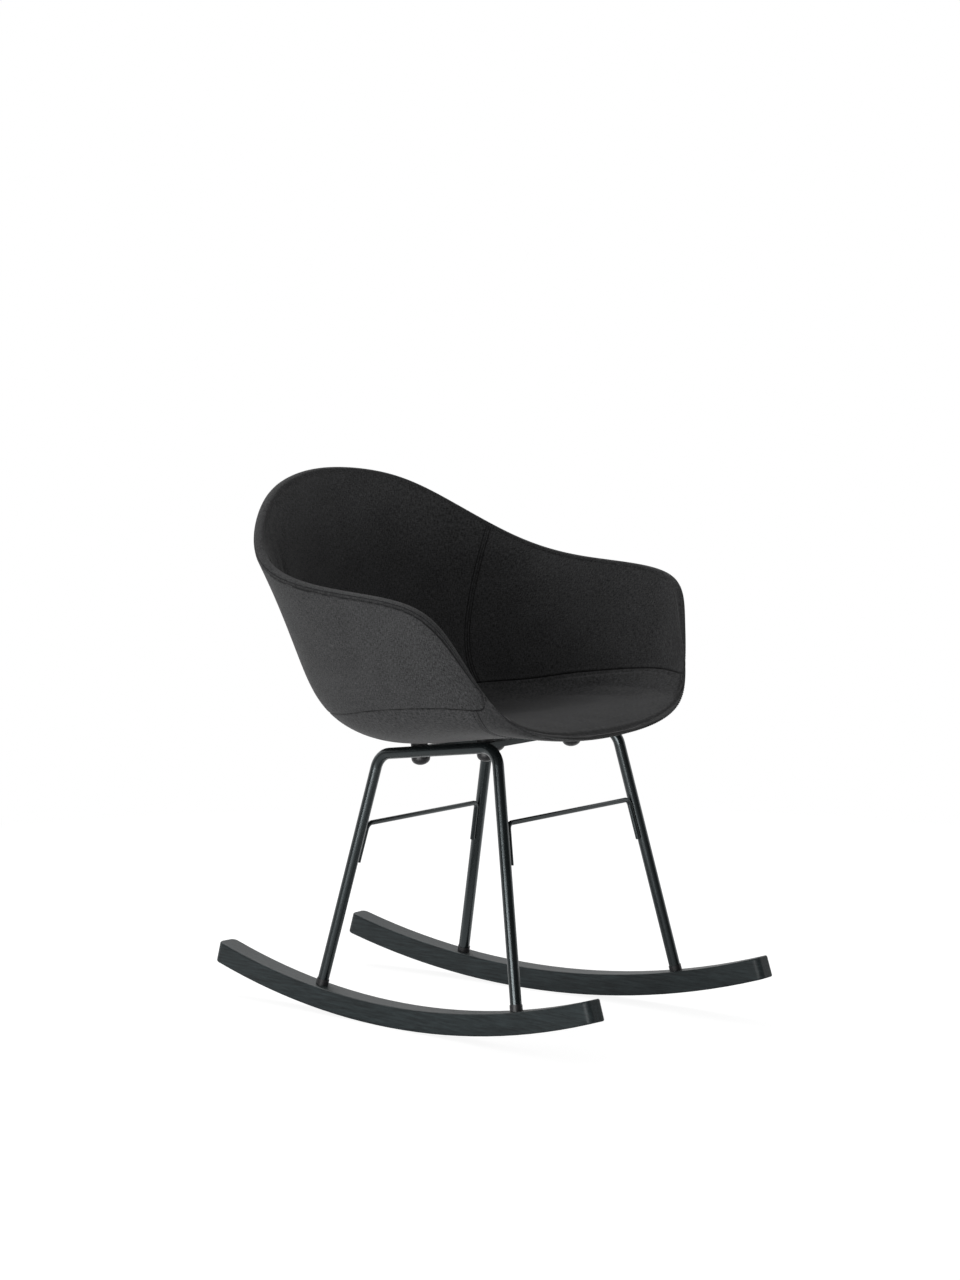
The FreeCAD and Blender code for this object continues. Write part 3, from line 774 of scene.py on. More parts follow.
@dataclass(frozen=True)
class SeamLines:
    """Where the seams run, as the share of the way up from the flat at each station."""

    bucket: Bucket
    back_station: float = 2.78
    front_station: float = 6.47
    arm_tip: float = 6.44
    patch_station: float = 6.12
    lip_stations: tuple[float, float] = (6.5, 6.85)
    low_stations: tuple[float, ...] = (0, 1.74, 2.78, 3.75, 4.41, 4.9, 5.42, 5.9, 6.23, 6.4, 6.47, 8)
    low_shares: tuple[float, ...] = (0.395, 0.415, 0.47, 0.54, 0.603, 0.633, 0.665, 0.71, 0.78, 0.87, 1, 1)
    patch_stations: tuple[float, ...] = (0, 6.05, 6.12, 6.2, 6.37, 7, 8)
    patch_shares: tuple[float, ...] = (1, 1, 0.75, 0.54, 0.464, 0.43, 0.42)

    def low(self, around: Array) -> Array:
        """Seam between seat and walls; outside, the same line divides wall and bottom."""
        return eased(self.low_stations, self.low_shares, self.bucket.half_station(around))

    def patch(self, around: Array) -> Array:
        """Seam under the lip, between the bottom and the front patch."""
        return eased(self.patch_stations, self.patch_shares, self.bucket.half_station(around))

    def bottom(self, around: Array) -> Array:
        """Edge of the bottom cover: the lower of the two seams."""
        return np.minimum(self.low(around), self.patch(around))

    def rim(self, around: Array) -> Array:
        """The rim itself."""
        return np.ones_like(around)

    def lip(self, around: Array) -> Array:
        """How far the rim's seam has crossed from outside to inside, on its way to the lip.

        Args:
            around: stations.

        Returns:
            From 0 beside the sitter to 1 along the lip.
        """
        start, end = self.lip_stations
        f = np.clip((self.bucket.half_station(around) - start) / (end - start), 0.0, 1.0)
        return f * f * (3.0 - 2.0 * f)


@dataclass(frozen=True)
class Swell:
    """How a panel's fabric rises from its seams: a low crown and rolled edges, in millimetres."""

    crown: float
    crown_reach: float
    dip: float
    roll: float
    stitched_dip: float = 1.0
    stitched_roll: float = 2.2

    @staticmethod
    def _seam(distance: Array, dip: float, roll: float) -> Array:
        """Depth below the layer: a quarter ellipse that climbs out of the seam."""
        inside = np.clip(1.0 - distance / roll, 0.0, 1.0)
        return dip * (1.0 - np.sqrt(np.clip(1.0 - inside**2, 0.0, 1.0)))

    def rise(self, plain: Array, stitched: Array, edge: Union[Array, float]) -> Array:
        """Height over the layer: the crown, one minus a falling exponential, less both kinds of seam.

        Args:
            plain: distance to the nearest plain seam.
            stitched: distance to the nearest topstitched seam.
            edge: distance to the nearest edge that runs on smoothly.

        Returns:
            The heights.
        """
        nearest = np.minimum(np.minimum(plain, stitched), edge)
        crown = self.crown * (1.0 - np.exp(-nearest / self.crown_reach))
        sunk = self._seam(plain, self.dip, self.roll)
        return crown - np.maximum(sunk, self._seam(stitched, self.stitched_dip, self.stitched_roll))


@dataclass(frozen=True)
class Inflation:
    """Swelling of a sewn pad as cloth under pressure, held at its seams and its back."""

    pressure: float = 1.2
    frames: int = 20
    cap: float = 4.5 * MM
    held: float = 7.0
    mass: float = 0.02
    stiffness: float = 12.0

    def swell(self, piece: bpy.types.Object, free: Array) -> None:
        """Runs the cloth, eases each move under the cap, and keeps the result in the mesh.

        Args:
            piece: the pad.
            free: which of its points aren't sewn or glued down.
        """
        group = piece.vertex_groups.new(name="sewn")
        group.add(np.flatnonzero(~free).tolist(), 1.0, "REPLACE")
        cloth = piece.modifiers.new("swelling", "CLOTH")
        settings = cloth.settings
        settings.vertex_group_mass = group.name
        settings.mass = self.mass
        settings.tension_stiffness = self.stiffness
        settings.compression_stiffness = self.stiffness
        settings.use_pressure = True
        settings.uniform_pressure_force = self.pressure
        settings.effector_weights.gravity = 0.0
        cloth.collision_settings.use_collision = False
        cloth.point_cache.frame_end = self.frames
        count = len(piece.data.vertices)
        before = np.empty(3 * count, dtype=np.float32)
        piece.data.vertices.foreach_get("co", before)
        scene = bpy.context.scene
        for step in range(1, self.frames + 1):
            scene.frame_set(step)
        swollen = piece.evaluated_get(bpy.context.evaluated_depsgraph_get()).to_mesh()
        after = np.empty(3 * count, dtype=np.float32)
        swollen.vertices.foreach_get("co", after)
        piece.modifiers.remove(cloth)
        piece.vertex_groups.remove(group)
        scene.frame_set(1)
        move = (after - before).reshape(-1, 3)
        far = np.linalg.norm(move, axis=1, keepdims=True)
        log.info("cloth on %s: moved %.4f mean, %.4f most", piece.name, far[free].mean(), far.max())
        eased_move = move * self.cap * np.tanh(far / self.cap) / np.maximum(far, 1e-9)
        piece.data.vertices.foreach_set("co", (before.reshape(-1, 3) + eased_move).ravel())
        piece.data.update()


@dataclass
class Panel:
    """One sewn panel: its patch of the net, its two faces and its swell.

    Its edges are named start and end, low, high, and rim where the high edge lies on the rim. Edges that are
    neither topstitched nor smooth are plain seams.
    """

    name: str
    bucket: Bucket
    face: Layer
    back: Layer
    facing: Facing
    swell: Swell
    ends: Optional[tuple[float, float]]
    low: Optional[Callable[[Array], Array]]
    high: Callable[[Array], Array]
    stitched: frozenset
    smooth: frozenset
    along: int
    across: int
    replaced: tuple[str, ...]
    slot: str
    fill: float
    inflation: Optional[Inflation] = None
    row_stretch: float = 1.0
    stitched_crease: float = 1.7
    crowding: float = 0.75
    far_off: float = 500.0
    seam_points: int = 900
    end_points: int = 200
    batches: int = 60

    def _reach(self) -> tuple[float, float]:
        """First and last station, all the way round for a panel without ends."""
        return self.ends or (0.0, float(self.bucket.columns))

    def _columns(self) -> Array:
        """Spreads stations along the panel's low seam, crowded towards its ends where it has ends.

        Returns:
            The stations.
        """
        fine = np.linspace(*self._reach(), 20 * self.along)
        edge = self.low or self.high
        path = self.bucket.point(fine, edge(fine), self.face)
        pull = 0.0 if self.ends is None else self.crowding
        return even_steps(path, fine, crowded(self.along + 1, pull))

    def _grid(self) -> tuple[Array, Array]:
        """Lays the panel's grid, closer together towards its seams.

        Returns:
            Stations and shares of the way up.
        """
        around = self._columns()
        if self.ends is None:
            around = around[:-1]
        if self.low is None:
            rings = np.linspace(-1.0, 0.0, self.across // 4 + 1)[1:-1]
            out = 1.0 - (1.0 - np.linspace(0.0, 1.0, self.across + 1)) ** 2.0
            flat = np.broadcast_to(rings, (len(around), len(rings)))
            shares = np.concatenate([flat, self.high(around)[:, None] * out], axis=1)
        else:
            low, high = self.low(around)[:, None], self.high(around)[:, None]
            shares = low + (high - low) * crowded(self.across + 1, self.crowding)
        return np.broadcast_to(around[:, None], shares.shape), shares

    def _seams(self) -> dict[str, Array]:
        """Traces the panel's edges.

        Returns:
            Points along each edge that it has, by name.
        """
        fine = np.linspace(*self._reach(), self.seam_points)
        up = self.high(fine)
        top = self.bucket.point(fine, up, self.face)
        lines = {"high": top[up < 1.0], "rim": top[up >= 1.0]}
        if self.low is not None:
            lines["low"] = self.bucket.point(fine, self.low(fine), self.face)
        if self.ends is not None:
            for label, station in zip(("start", "end"), self.ends):
                here = np.full(self.end_points, station)
                foot, head = (float(edge(here[:1])[0]) for edge in (self.low, self.high))
                lines[label] = self.bucket.point(here, np.linspace(foot, head, self.end_points), self.face)
        return {label: line for label, line in lines.items() if len(line)}

    def seam_distances(self, points: Array) -> list[Array]:
        """Measures how far points lie from the panel's edges.

        Args:
            points: places on its face.

        Returns:
            Distances to the nearest plain seam, topstitched seam and smooth edge, in millimetres.
        """
        seams = self._seams()
        parts = np.array_split(points.reshape(-1, 3), self.batches)
        plain = seams.keys() - self.stitched - self.smooth
        found = []
        for wanted in (plain, seams.keys() & self.stitched, seams.keys() & self.smooth):
            if not wanted:
                found.append(np.full(points.shape[:-1], self.far_off))
                continue
            line = np.concatenate([seams[label] for label in sorted(wanted)])
            nearest = [np.linalg.norm(part[:, None] - line, axis=-1).min(axis=1) for part in parts]
            found.append(np.concatenate(nearest).reshape(points.shape[:-1]) / MM)
        return found

    def _cloth_places(self, around: Array, up: Array) -> Array:
        """Lays the panel flat: seen from above for the seat, unrolled for the walls.

        Args:
            around: stations of its grid.
            up: shares of the way up.

        Returns:
            Places on the flat cloth, in metres.
        """
        local = self.bucket.local(around, up, self.face) * MM
        if self.low is None:
            return local[..., :2].reshape(-1, 2)
        middle = local[:, local.shape[1] // 2]
        sideways = np.concatenate([[0.0], np.cumsum(np.linalg.norm(np.diff(middle, axis=0), axis=1))])
        climb = np.linalg.norm(np.diff(local, axis=1), axis=2).cumsum(axis=1)
        climb = np.concatenate([np.zeros((len(local), 1)), climb], axis=1)
        climb -= climb[:, climb.shape[1] // 2][:, None]
        return np.stack([np.broadcast_to(sideways[:, None], climb.shape), climb], axis=-1).reshape(-1, 2)

    def _faces(self, number: Array) -> list[Array]:
        """Joins the face, the back and the folded edges between them.

        Args:
            number: vertex numbers of the face's grid; the back's follow them.

        Returns:
            Groups of quads.
        """
        count = number.size
        closed = self.ends is None
        quads = grid_quads(*number.shape, closed)
        borders = [number[:, -1]]
        if self.low is not None:
            borders.append(number[::-1, 0])
        if closed:
            borders = [np.append(border, border[0]) for border in borders]
        else:
            borders += [number[0], number[-1, ::-1]]
        faces = [quads, quads[:, ::-1] + count]
        for border in borders:
            here, ahead = border[:-1], border[1:]
            faces.append(np.stack([ahead, here, here + count, ahead + count], axis=1))
        return faces

    def build(self, finish: bpy.types.Material) -> bpy.types.Object:
        """Makes the closed panel and swells it.

        Args:
            finish: the fabric.

        Returns:
            The piece.
        """
        around, up = self._grid()
        plain, stitched, edge = self.seam_distances(self.bucket.point(around, up, self.face))
        rise = self.facing.value * self.swell.rise(plain, stitched, edge)
        front = self.bucket.point(around, up, self.face, rise).reshape(-1, 3)
        behind = self.bucket.point(around, up, self.back).reshape(-1, 3)
        points = np.concatenate([front, behind])
        number = np.arange(around.size).reshape(around.shape)
        faces = self._faces(number)
        flat = np.tile(self._cloth_places(around, up), (2, 1))
        creased = np.minimum(plain, self.stitched_crease * stitched)
        carried = {
            "crease": np.tile(creased.ravel(), 2) * MM,
            "topstitch": np.tile(stitched.ravel(), 2) * MM / self.row_stretch,
        }
        if self.low is None:
            points, flat, carried, caps = self._close_middle(points, flat, carried, number)
            faces += caps
        if self.facing is Facing.INWARD:
            faces = [face[:, ::-1] for face in faces]
        piece = new_piece(self.name, points, np.concatenate(faces), flat, finish, carried)
        if self.inflation is not None:
            self._inflate(piece, np.minimum(np.minimum(plain, stitched), edge).ravel())
        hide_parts(*self.replaced)
        return piece

    def _inflate(self, piece: bpy.types.Object, nearest: Array) -> None:
        """Args:
            piece: the pad.
            nearest: distance from each point of its face to the nearest edge, in millimetres.
        """
        count = len(nearest)
        free = np.zeros(len(piece.data.vertices), dtype=bool)
        free[:count] = nearest > self.inflation.held
        free[2 * count : 2 * count + 1] = True
        self.inflation.swell(piece, free)
        smooth = piece.modifiers.new("smooth", "SUBSURF")
        smooth.levels = smooth.render_levels = 1

    @staticmethod
    def _close_middle(
        points: Array, flat: Array, carried: dict[str, Array], number: Array
    ) -> tuple[Array, Array, dict[str, Array], list]:
        """Fans the innermost ring of each face to a middle point.

        Args:
            points: vertex places of the face and the back.
            flat: their places on the flat cloth.
            carried: the numbers that they carry.
            number: vertex numbers of the face's grid.

        Returns:
            The first three with two middle points added, and the new faces.
        """
        caps = []
        for start in (0, number.size):
            here = number[:, 0] + start
            middle = np.full_like(here, len(points))
            points = np.concatenate([points, points[here].mean(axis=0)[None]])
            flat = np.concatenate([flat, flat[here].mean(axis=0)[None]])
            carried = {label: np.append(values, values[here].mean()) for label, values in carried.items()}
            fan = np.stack([here, middle, middle, np.roll(here, -1)], axis=1)
            caps.append(fan if start == 0 else fan[:, ::-1])
        return points, flat, carried, caps


@dataclass
class RimStrip:
    """Fabric turned over the shell's edge, all round the rim.

    Its seam lies along the outer edge beside the sitter and along the inner edge at the lip, with a row
    of stitches on the side that the seating fabric comes from. Elsewhere it runs on from its neighbours.
    """

    bucket: Bucket
    seams: SeamLines
    bulge: float = 4.6
    flatness: float = 3.2
    tuck: float = 2.4
    tuck_power: int = 14
    groove: float = 0.7
    groove_width: float = 0.045
    stitch_share: float = 0.2
    width: float = 18.0
    depth: float = 5.0
    root_shares: tuple[float, float] = (0.85, 0.15)
    overlap: float = 4.0
    proud: float = 0.35
    around: int = 640
    across: int = 41
    name: str = "rim_strip"

    def arch(self, around: Array, w: Array) -> Array:
        """Height over the line from edge to edge.

        Half an ellipse, or where the outer edge is a seam, a flat-topped arch, tucked in at the seam and
        grooved at the stitches.

        Args:
            around: stations.
            w: from 0 at the inner edge to 1 at the outer edge.

        Returns:
            Heights in millimetres.
        """
        off = np.clip(np.abs(2.0 * w - 1.0), 0.0, 1.0)
        smooth = self.bulge * np.sqrt(1.0 - off**2)
        row = (1.0 - w - self.stitch_share) / self.groove_width
        sunk = self.tuck * off**self.tuck_power + self.groove * np.exp(-(row**2))
        sewn = self.bulge * (1.0 - off**self.flatness) - sunk
        return smooth + np.where(w > 0.5, 1.0 - self.seams.lip(around), 0.0) * (sewn - smooth)

    def place(self, around: Array, w: Array, lift: float = 0.0) -> Array:
        """Points of the strip's face.

        Args:
            around: stations.
            w: from 0 at the inner edge to 1 at the outer edge.
            lift: extra height over the face, in millimetres.

        Returns:
            Points in metres.
        """
        inner, outer, ahead = self.edges(around)
        height = self.arch(around, w) + lift
        return self.bucket.placed(inner + w[..., None] * (outer - inner) + height[..., None] * ahead)

    def edges(self, around: Array) -> tuple[Array, Array, Array]:
        """Follows the rim of the shell with its fabric.

        Args:
            around: stations.

        Returns:
            Its inner edge, its outer edge and the direction away from it, in the seat's own frame.
        """
        top = np.ones_like(around)
        below = np.full_like(around, 0.99)
        sides = []
        for layer in (Layer.SEATING, Layer.OUTSIDE):
            edge = self.bucket.local(around, top, layer)
            sides.append((edge, edge - self.bucket.local(around, below, layer)))
        (inner, rise), (outer, outer_rise) = sides
        ahead = rise + outer_rise
        return inner, outer, ahead / np.linalg.norm(ahead, axis=-1, keepdims=True)

    def _section(self, stations: Array, w: Array) -> Array:
        """Rings of the strip: over the rim, back underneath, and a lap over the pads' edges.

        Args:
            stations: where the rings are.
            w: shares across the face.

        Returns:
            Points in metres, rings by points.
        """
        face = self.place(*np.meshgrid(stations, w, indexing="ij"))
        inner, outer, ahead = self.edges(stations)
        through = outer - inner
        root = [inner + f * through - self.depth * ahead for f in self.root_shares]
        beside = (1.0 - self.seams.lip(stations))[:, None]
        lap = beside * through / np.linalg.norm(through, axis=1)[:, None]
        down = self.overlap * np.linalg.norm(lap, axis=1)[:, None]
        hidden = [*root, inner - self.proud * lap - down * ahead]
        return np.concatenate([face, *(self.bucket.placed(line)[:, None] for line in hidden)], axis=1)

    def _carried(self, stations: Array, run: Array, shares: Array) -> dict[str, Array]:
        """Measures the strip's points from its own seam and from the seams between back and arms.

        Args:
            stations: where the rings are.
            run: distance of each ring along the rim.
            shares: place of each point across the strip.

        Returns:
            The distances that the fabric draws its creases and rows from, in metres.
        """
        inside = (1.0 - self.seams.lip(stations)[:, None] - shares) * self.width * MM
        station_gap = np.abs(self.bucket.half_station(stations) - self.seams.back_station)
        to_back_seam = station_gap * run.max() / self.bucket.columns
        crossing = np.where(inside > 0.0, to_back_seam[:, None], 1.0)
        return {
            "crease": np.minimum(np.abs(inside), crossing).ravel(),
            "topstitch": np.where(inside > 0.0, inside, 1.0).ravel(),
        }

    def build(self, finish: bpy.types.Material) -> bpy.types.Object:
        """Makes the closed strip.

        Args:
            finish: the fabric.

        Returns:
            The piece.
        """
        fine = np.linspace(0.0, self.bucket.columns, RIM_POINTS)
        path = self.place(fine, np.full_like(fine, 0.5))
        stations = even_steps(path, fine, crowded(self.around + 1, 0.0))[:-1]
        w = crowded(self.across, 0.3)
        section = self._section(stations, w)
        number = np.arange(section.shape[0] * section.shape[1]).reshape(section.shape[:2])
        number = np.concatenate([number, number[:, :1]], axis=1)
        after = np.roll(number, -1, axis=0)
        corners = [number[:, :-1], number[:, 1:], after[:, 1:], after[:, :-1]]
        steps = np.linalg.norm(np.diff(path, axis=0), axis=1)
        run = np.interp(stations, fine, np.concatenate([[0.0], np.cumsum(steps)]))
        shares = np.concatenate([w, [1.2, -0.3, -self.overlap / self.width]])
        flat = np.stack(np.meshgrid(run, shares * self.width * MM, indexing="ij"), axis=-1).reshape(-1, 2)
        quads = np.stack(corners, axis=-1).reshape(-1, 4)
        carried = self._carried(stations, run, shares)
        piece = new_piece(self.name, section.reshape(-1, 3), quads, flat, finish, carried)
        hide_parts("rim_welt")
        return piece


@dataclass(frozen=True)
class Stitching:
    """Rows of lockstitches: short rounded lengths of thread that dive into the fabric at both ends."""

    length: float = 3.6 * MM
    gap: float = 1.0 * MM
    radius: float = 0.42 * MM
    bow: float = 1.6
    sunk: float = 0.75
    sides: int = 6
    rings: int = 7

    def _template(self) -> tuple[Array, Array]:
        """Makes one stitch along X: a tube whose ends close and sink, as a half wave.

        Returns:
            Its points and quads.
        """
        along = np.linspace(-1.0, 1.0, self.rings)
        angle = np.linspace(0.0, math.tau, self.sides, endpoint=False)
        thin = self.radius * np.sqrt(np.clip(1.0 - np.abs(along) ** 6, 0.02, 1.0))
        height = self.bow * self.radius * (np.cos(along * math.pi / 2) - self.sunk)
        x = np.broadcast_to(0.5 * self.length * along[:, None], (self.rings, self.sides))
        y = thin[:, None] * np.cos(angle)
        z = thin[:, None] * np.sin(angle) + height[:, None]
        number = np.arange(self.rings * self.sides).reshape(self.rings, self.sides)
        ahead = np.roll(number, -1, axis=1)
        quads = np.stack([number[:-1], number[1:], ahead[1:], ahead[:-1]], axis=-1).reshape(-1, 4)
        tips = (number[0], number[-1, ::-1])
        caps = [np.stack([ring[[0, 1, 2, 3]], ring[[3, 4, 5, 0]]]) for ring in tips]
        return np.stack([x, y, z], axis=-1).reshape(-1, 3), np.concatenate([quads, *caps])

    def _along(self, path: Array, normals: Array) -> tuple[Array, Array]:
        """Spaces stitches evenly along a row.

        Args:
            path: points along the row.
            normals: the fabric's normal at each.

        Returns:
            The middle of each stitch, and its axes: forward, sideways and up.
        """
        steps = np.linalg.norm(np.diff(path, axis=0), axis=1)
        run = np.concatenate([[0.0], np.cumsum(steps)])
        count = int(run[-1] // (self.length + self.gap))
        centres = (np.arange(count) + 0.5) * run[-1] / count

        def at(values: Array, where: Array) -> Array:
            """The row's values at distances along it."""
            return np.stack([np.interp(where, run, values[:, axis]) for axis in range(3)], axis=-1)

        reach = 0.4 * self.length
        forward = at(path, centres + reach) - at(path, centres - reach)
        forward /= np.linalg.norm(forward, axis=1, keepdims=True)
        up = at(normals, centres)
        up -= (up * forward).sum(axis=1, keepdims=True) * forward
        up /= np.linalg.norm(up, axis=1, keepdims=True)
        return at(path, centres), np.stack([forward, np.cross(up, forward), up], axis=1)

    def build(self, name: str, rows: Sequence[Row], finish: bpy.types.Material) -> bpy.types.Object:
        """Lays stitches along rows.

        Args:
            name: the piece's name.
            rows: for each row, points along it and the fabric's normal at each.
            finish: the thread.

        Returns:
            The piece.
        """
        shape, quads = self._template()
        points, faces, start = [], [], 0
        for path, normals in rows:
            middle, turn = self._along(path, normals)
            placed = middle[:, None] + np.einsum("sk,nkc->nsc", shape, turn)
            numbers = start + np.arange(len(middle))[:, None, None] * len(shape) + quads
            points.append(placed.reshape(-1, 3))
            faces.append(numbers.reshape(-1, 4))
            start += placed.shape[0] * len(shape)
        every = np.concatenate(points)
        piece = new_piece(name, every, np.concatenate(faces), every[:, :2], finish)
        return piece


@dataclass
class Upholstery:
    """All the sewn pieces of the bucket, with their stitching."""

    bucket: Bucket = field(default_factory=Bucket)
    padding: Swell = Swell(crown=2.0, crown_reach=45.0, dip=2.6, roll=4.5)
    cushion: Swell = Swell(crown=3.0, crown_reach=60.0, dip=2.6, roll=5.0)
    skin: Swell = Swell(crown=0.3, crown_reach=40.0, dip=1.3, roll=2.6)
    stitch_from_seam: float = 3.6
    lip_stretch: float = 2.4
    climb_clear: float = 0.012
    climb_end: float = 0.985
    patch_clear: float = 0.005
    lip_clear: float = 0.06
    sideways_step: float = 0.05
    lip_step: float = 0.01
    tilt_step: float = 0.02

    @property
    def seams(self) -> SeamLines:
        """The seams on this bucket."""
        return SeamLines(self.bucket)

    def panels(self) -> list[Panel]:
        """Lists the panels as they are cut.

        Returns:
            The panels, those that the sitter touches first.
        """
        seams = self.seams
        around = self.bucket.columns
        back, front, patch = seams.back_station, seams.front_station, seams.patch_station
        plain, rim = frozenset(), frozenset({"rim"})
        inside = {"bucket": self.bucket, "face": Layer.SEATING, "back": Layer.PAD_BACK}
        inside |= {"facing": Facing.INWARD, "fill": 0.8, "inflation": Inflation(), "slot": "upholstery"}
        outside = {"bucket": self.bucket, "face": Layer.OUTSIDE, "back": Layer.COVER_BACK}
        outside |= {"facing": Facing.OUTWARD, "fill": 1.0, "swell": self.skin, "slot": "outer_upholstery"}
        walls = {"low": seams.low, "high": seams.rim}
        pad = {**inside, **walls, "swell": self.padding, "smooth": rim}
        arm = {**pad, "along": 100, "across": 52}
        cover = {**outside, "stitched": plain, "smooth": plain}
        return [
            Panel("seat_cushion", **inside, swell=self.cushion, ends=None, low=None, high=seams.low,
                  stitched=rim, smooth=plain, along=200, across=40, replaced=("seat_pad",),
                  row_stretch=self.lip_stretch),
            Panel("back_cushion", **pad, ends=(-back, back), stitched=frozenset({"start", "end"}),
                  along=116, across=64, replaced=("back_pad",)),
            Panel("arm_cushion_right", **arm, ends=(back, seams.arm_tip), stitched=frozenset({"start"}),
                  replaced=("arm_pad_right",)),
            Panel("arm_cushion_left", **arm, ends=(around - seams.arm_tip, around - back),
                  stitched=frozenset({"end"}), replaced=("arm_pad_left",)),
            Panel("outer_wall", **cover, **walls, ends=(-front, front), along=280, across=64,
                  replaced=("outer_cover",)),
            Panel("under_panel", **cover, ends=None, low=None, high=seams.bottom, along=300, across=44,
                  replaced=("bottom_cover",)),
            Panel("front_patch", **outside, ends=(patch, around - patch), low=seams.patch, high=seams.low,
                  stitched=frozenset({"low"}), smooth=rim, along=200, across=40, replaced=()),
        ]

    def _rise(self, swell: Swell, count: int) -> Array:
        """Heights of a panel's fabric under a row of stitches."""
        beside = np.full(count, self.stitch_from_seam)
        return swell.rise(np.full(count, Panel.far_off), beside, beside)

    def _row(self, around: Array, up: Array, swell: Swell) -> Row:
        """Lays a row on the swollen fabric that the sitter touches.

        Args:
            around: stations along the row.
            up: shares of the way up.
            swell: how that fabric rises.

        Returns:
            Points along the row, and normals out of the fabric.
        """
        inward = Facing.INWARD.value
        rise = inward * self._rise(swell, len(around))
        path = self.bucket.point(around, up, Layer.SEATING, rise)
        return path, unit(self.bucket.point(around, up, Layer.SEATING, rise + inward) - path)

    def _beside(self, around: Array, up: Array, way: float) -> Array:
        """Moves stations sideways from a seam that climbs, by the stitches' distance from it.

        Args:
            around: the seam's stations.
            up: shares of the way up.
            way: 1 or -1, for the side.

        Returns:
            The stations beside the seam.
        """
        step = self.sideways_step
        ahead = self.bucket.local(around + step, up, Layer.SEATING)
        reach = ahead - self.bucket.local(around - step, up, Layer.SEATING)
        return around + way * self.stitch_from_seam * 2 * step / np.linalg.norm(reach, axis=-1)

    def climbing_rows(self) -> list[Row]:
        """Lays double rows beside the seams between back and arms.

        Returns:
            The rows.
        """
        rows = []
        for station in (self.seams.back_station, self.bucket.columns - self.seams.back_station):
            low = float(self.seams.low(np.array([station]))[0])
            up = np.linspace(low + self.climb_clear, self.climb_end, CLIMB_POINTS)
            seam = np.full_like(up, station)
            rows += [self._row(self._beside(seam, up, way), up, self.padding) for way in (-1.0, 1.0)]
        return rows

    def patch_rows(self) -> list[Row]:
        """Lays double rows beside the seam under the lip.

        Returns:
            The rows.
        """
        bucket, seam, layer = self.bucket, self.seams.patch, Layer.OUTSIDE
        start = self.seams.patch_station + self.patch_clear
        fine = np.linspace(start, bucket.columns - start, PATCH_POINTS)
        path = bucket.point(fine, seam(fine), layer)
        around = even_steps(path, fine, crowded(ROW_POINTS, 0.0))
        up = seam(around)
        h = bucket.step
        slope = (seam(around + h) - seam(around - h)) / (2 * h)
        side = bucket.local(around + h, up, layer) - bucket.local(around - h, up, layer)
        climb = bucket.local(around, up + h, layer) - bucket.local(around, up - h, layer)
        normal = bucket.normal(around, up, layer)
        off = self.stitch_from_seam * unit(np.cross(normal, side + slope[:, None] * climb))
        raised = bucket.local(around, up, layer) + self._rise(self.skin, len(around))[:, None] * normal
        rows = []
        for way in (-1.0, 1.0):
            path = bucket.placed(raised + way * off)
            rows.append((path, unit(bucket.placed(raised + way * off + normal) - path)))
        return rows

    def _strip_row(self, strip: RimStrip) -> Row:
        """Lays the row on the strip, round the back and sides.

        Args:
            strip: the strip over the rim.

        Returns:
            Points along the row, and normals out of the fabric.
        """
        side = self.seams.lip_stations[0]
        fine = np.linspace(-side, side, RIM_POINTS)
        share = np.full_like(fine, 1.0 - strip.stitch_share)
        path = strip.place(fine, share)
        out = strip.place(fine, share, 1.0) - path
        tilt = unit(strip.place(fine, share + self.tilt_step) - strip.place(fine, share - self.tilt_step))
        return path, unit(out - (out * tilt).sum(axis=1, keepdims=True) * tilt)

    def _lip_row(self) -> Row:
        """Lays the row on the seat, along the lip.

        Returns:
            Points along the row, and normals out of the fabric.
        """
        front = self.seams.front_station + self.lip_clear
        fine = np.linspace(front, self.bucket.columns - front, ROW_POINTS)
        top = np.ones_like(fine)
        below = self.bucket.local(fine, top - self.lip_step, Layer.SEATING)
        climb = np.linalg.norm(self.bucket.local(fine, top, Layer.SEATING) - below, axis=-1)
        up = top - self.lip_step * self.lip_stretch * self.stitch_from_seam / climb
        return self._row(fine, up, self.cushion)

    def build(self) -> list[bpy.types.Object]:
        """Makes every sewn piece and its stitches.

        Returns:
            The pieces.
        """
        fabric = WovenFabric("seat_fabric").build()
        thread = SewingThread().build()
        pieces = [panel.build(fabric) for panel in self.panels()]
        strip = RimStrip(self.bucket, self.seams)
        pieces.append(strip.build(fabric))
        rows = {
            "back_seam_stitches": self.climbing_rows(),
            "patch_stitches": self.patch_rows(),
            "rim_stitches": [self._strip_row(strip), self._lip_row()],
        }
        pieces += [Stitching().build(name, laid, thread) for name, laid in rows.items()]
        for piece in pieces:
            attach(piece, BODY)
        return pieces


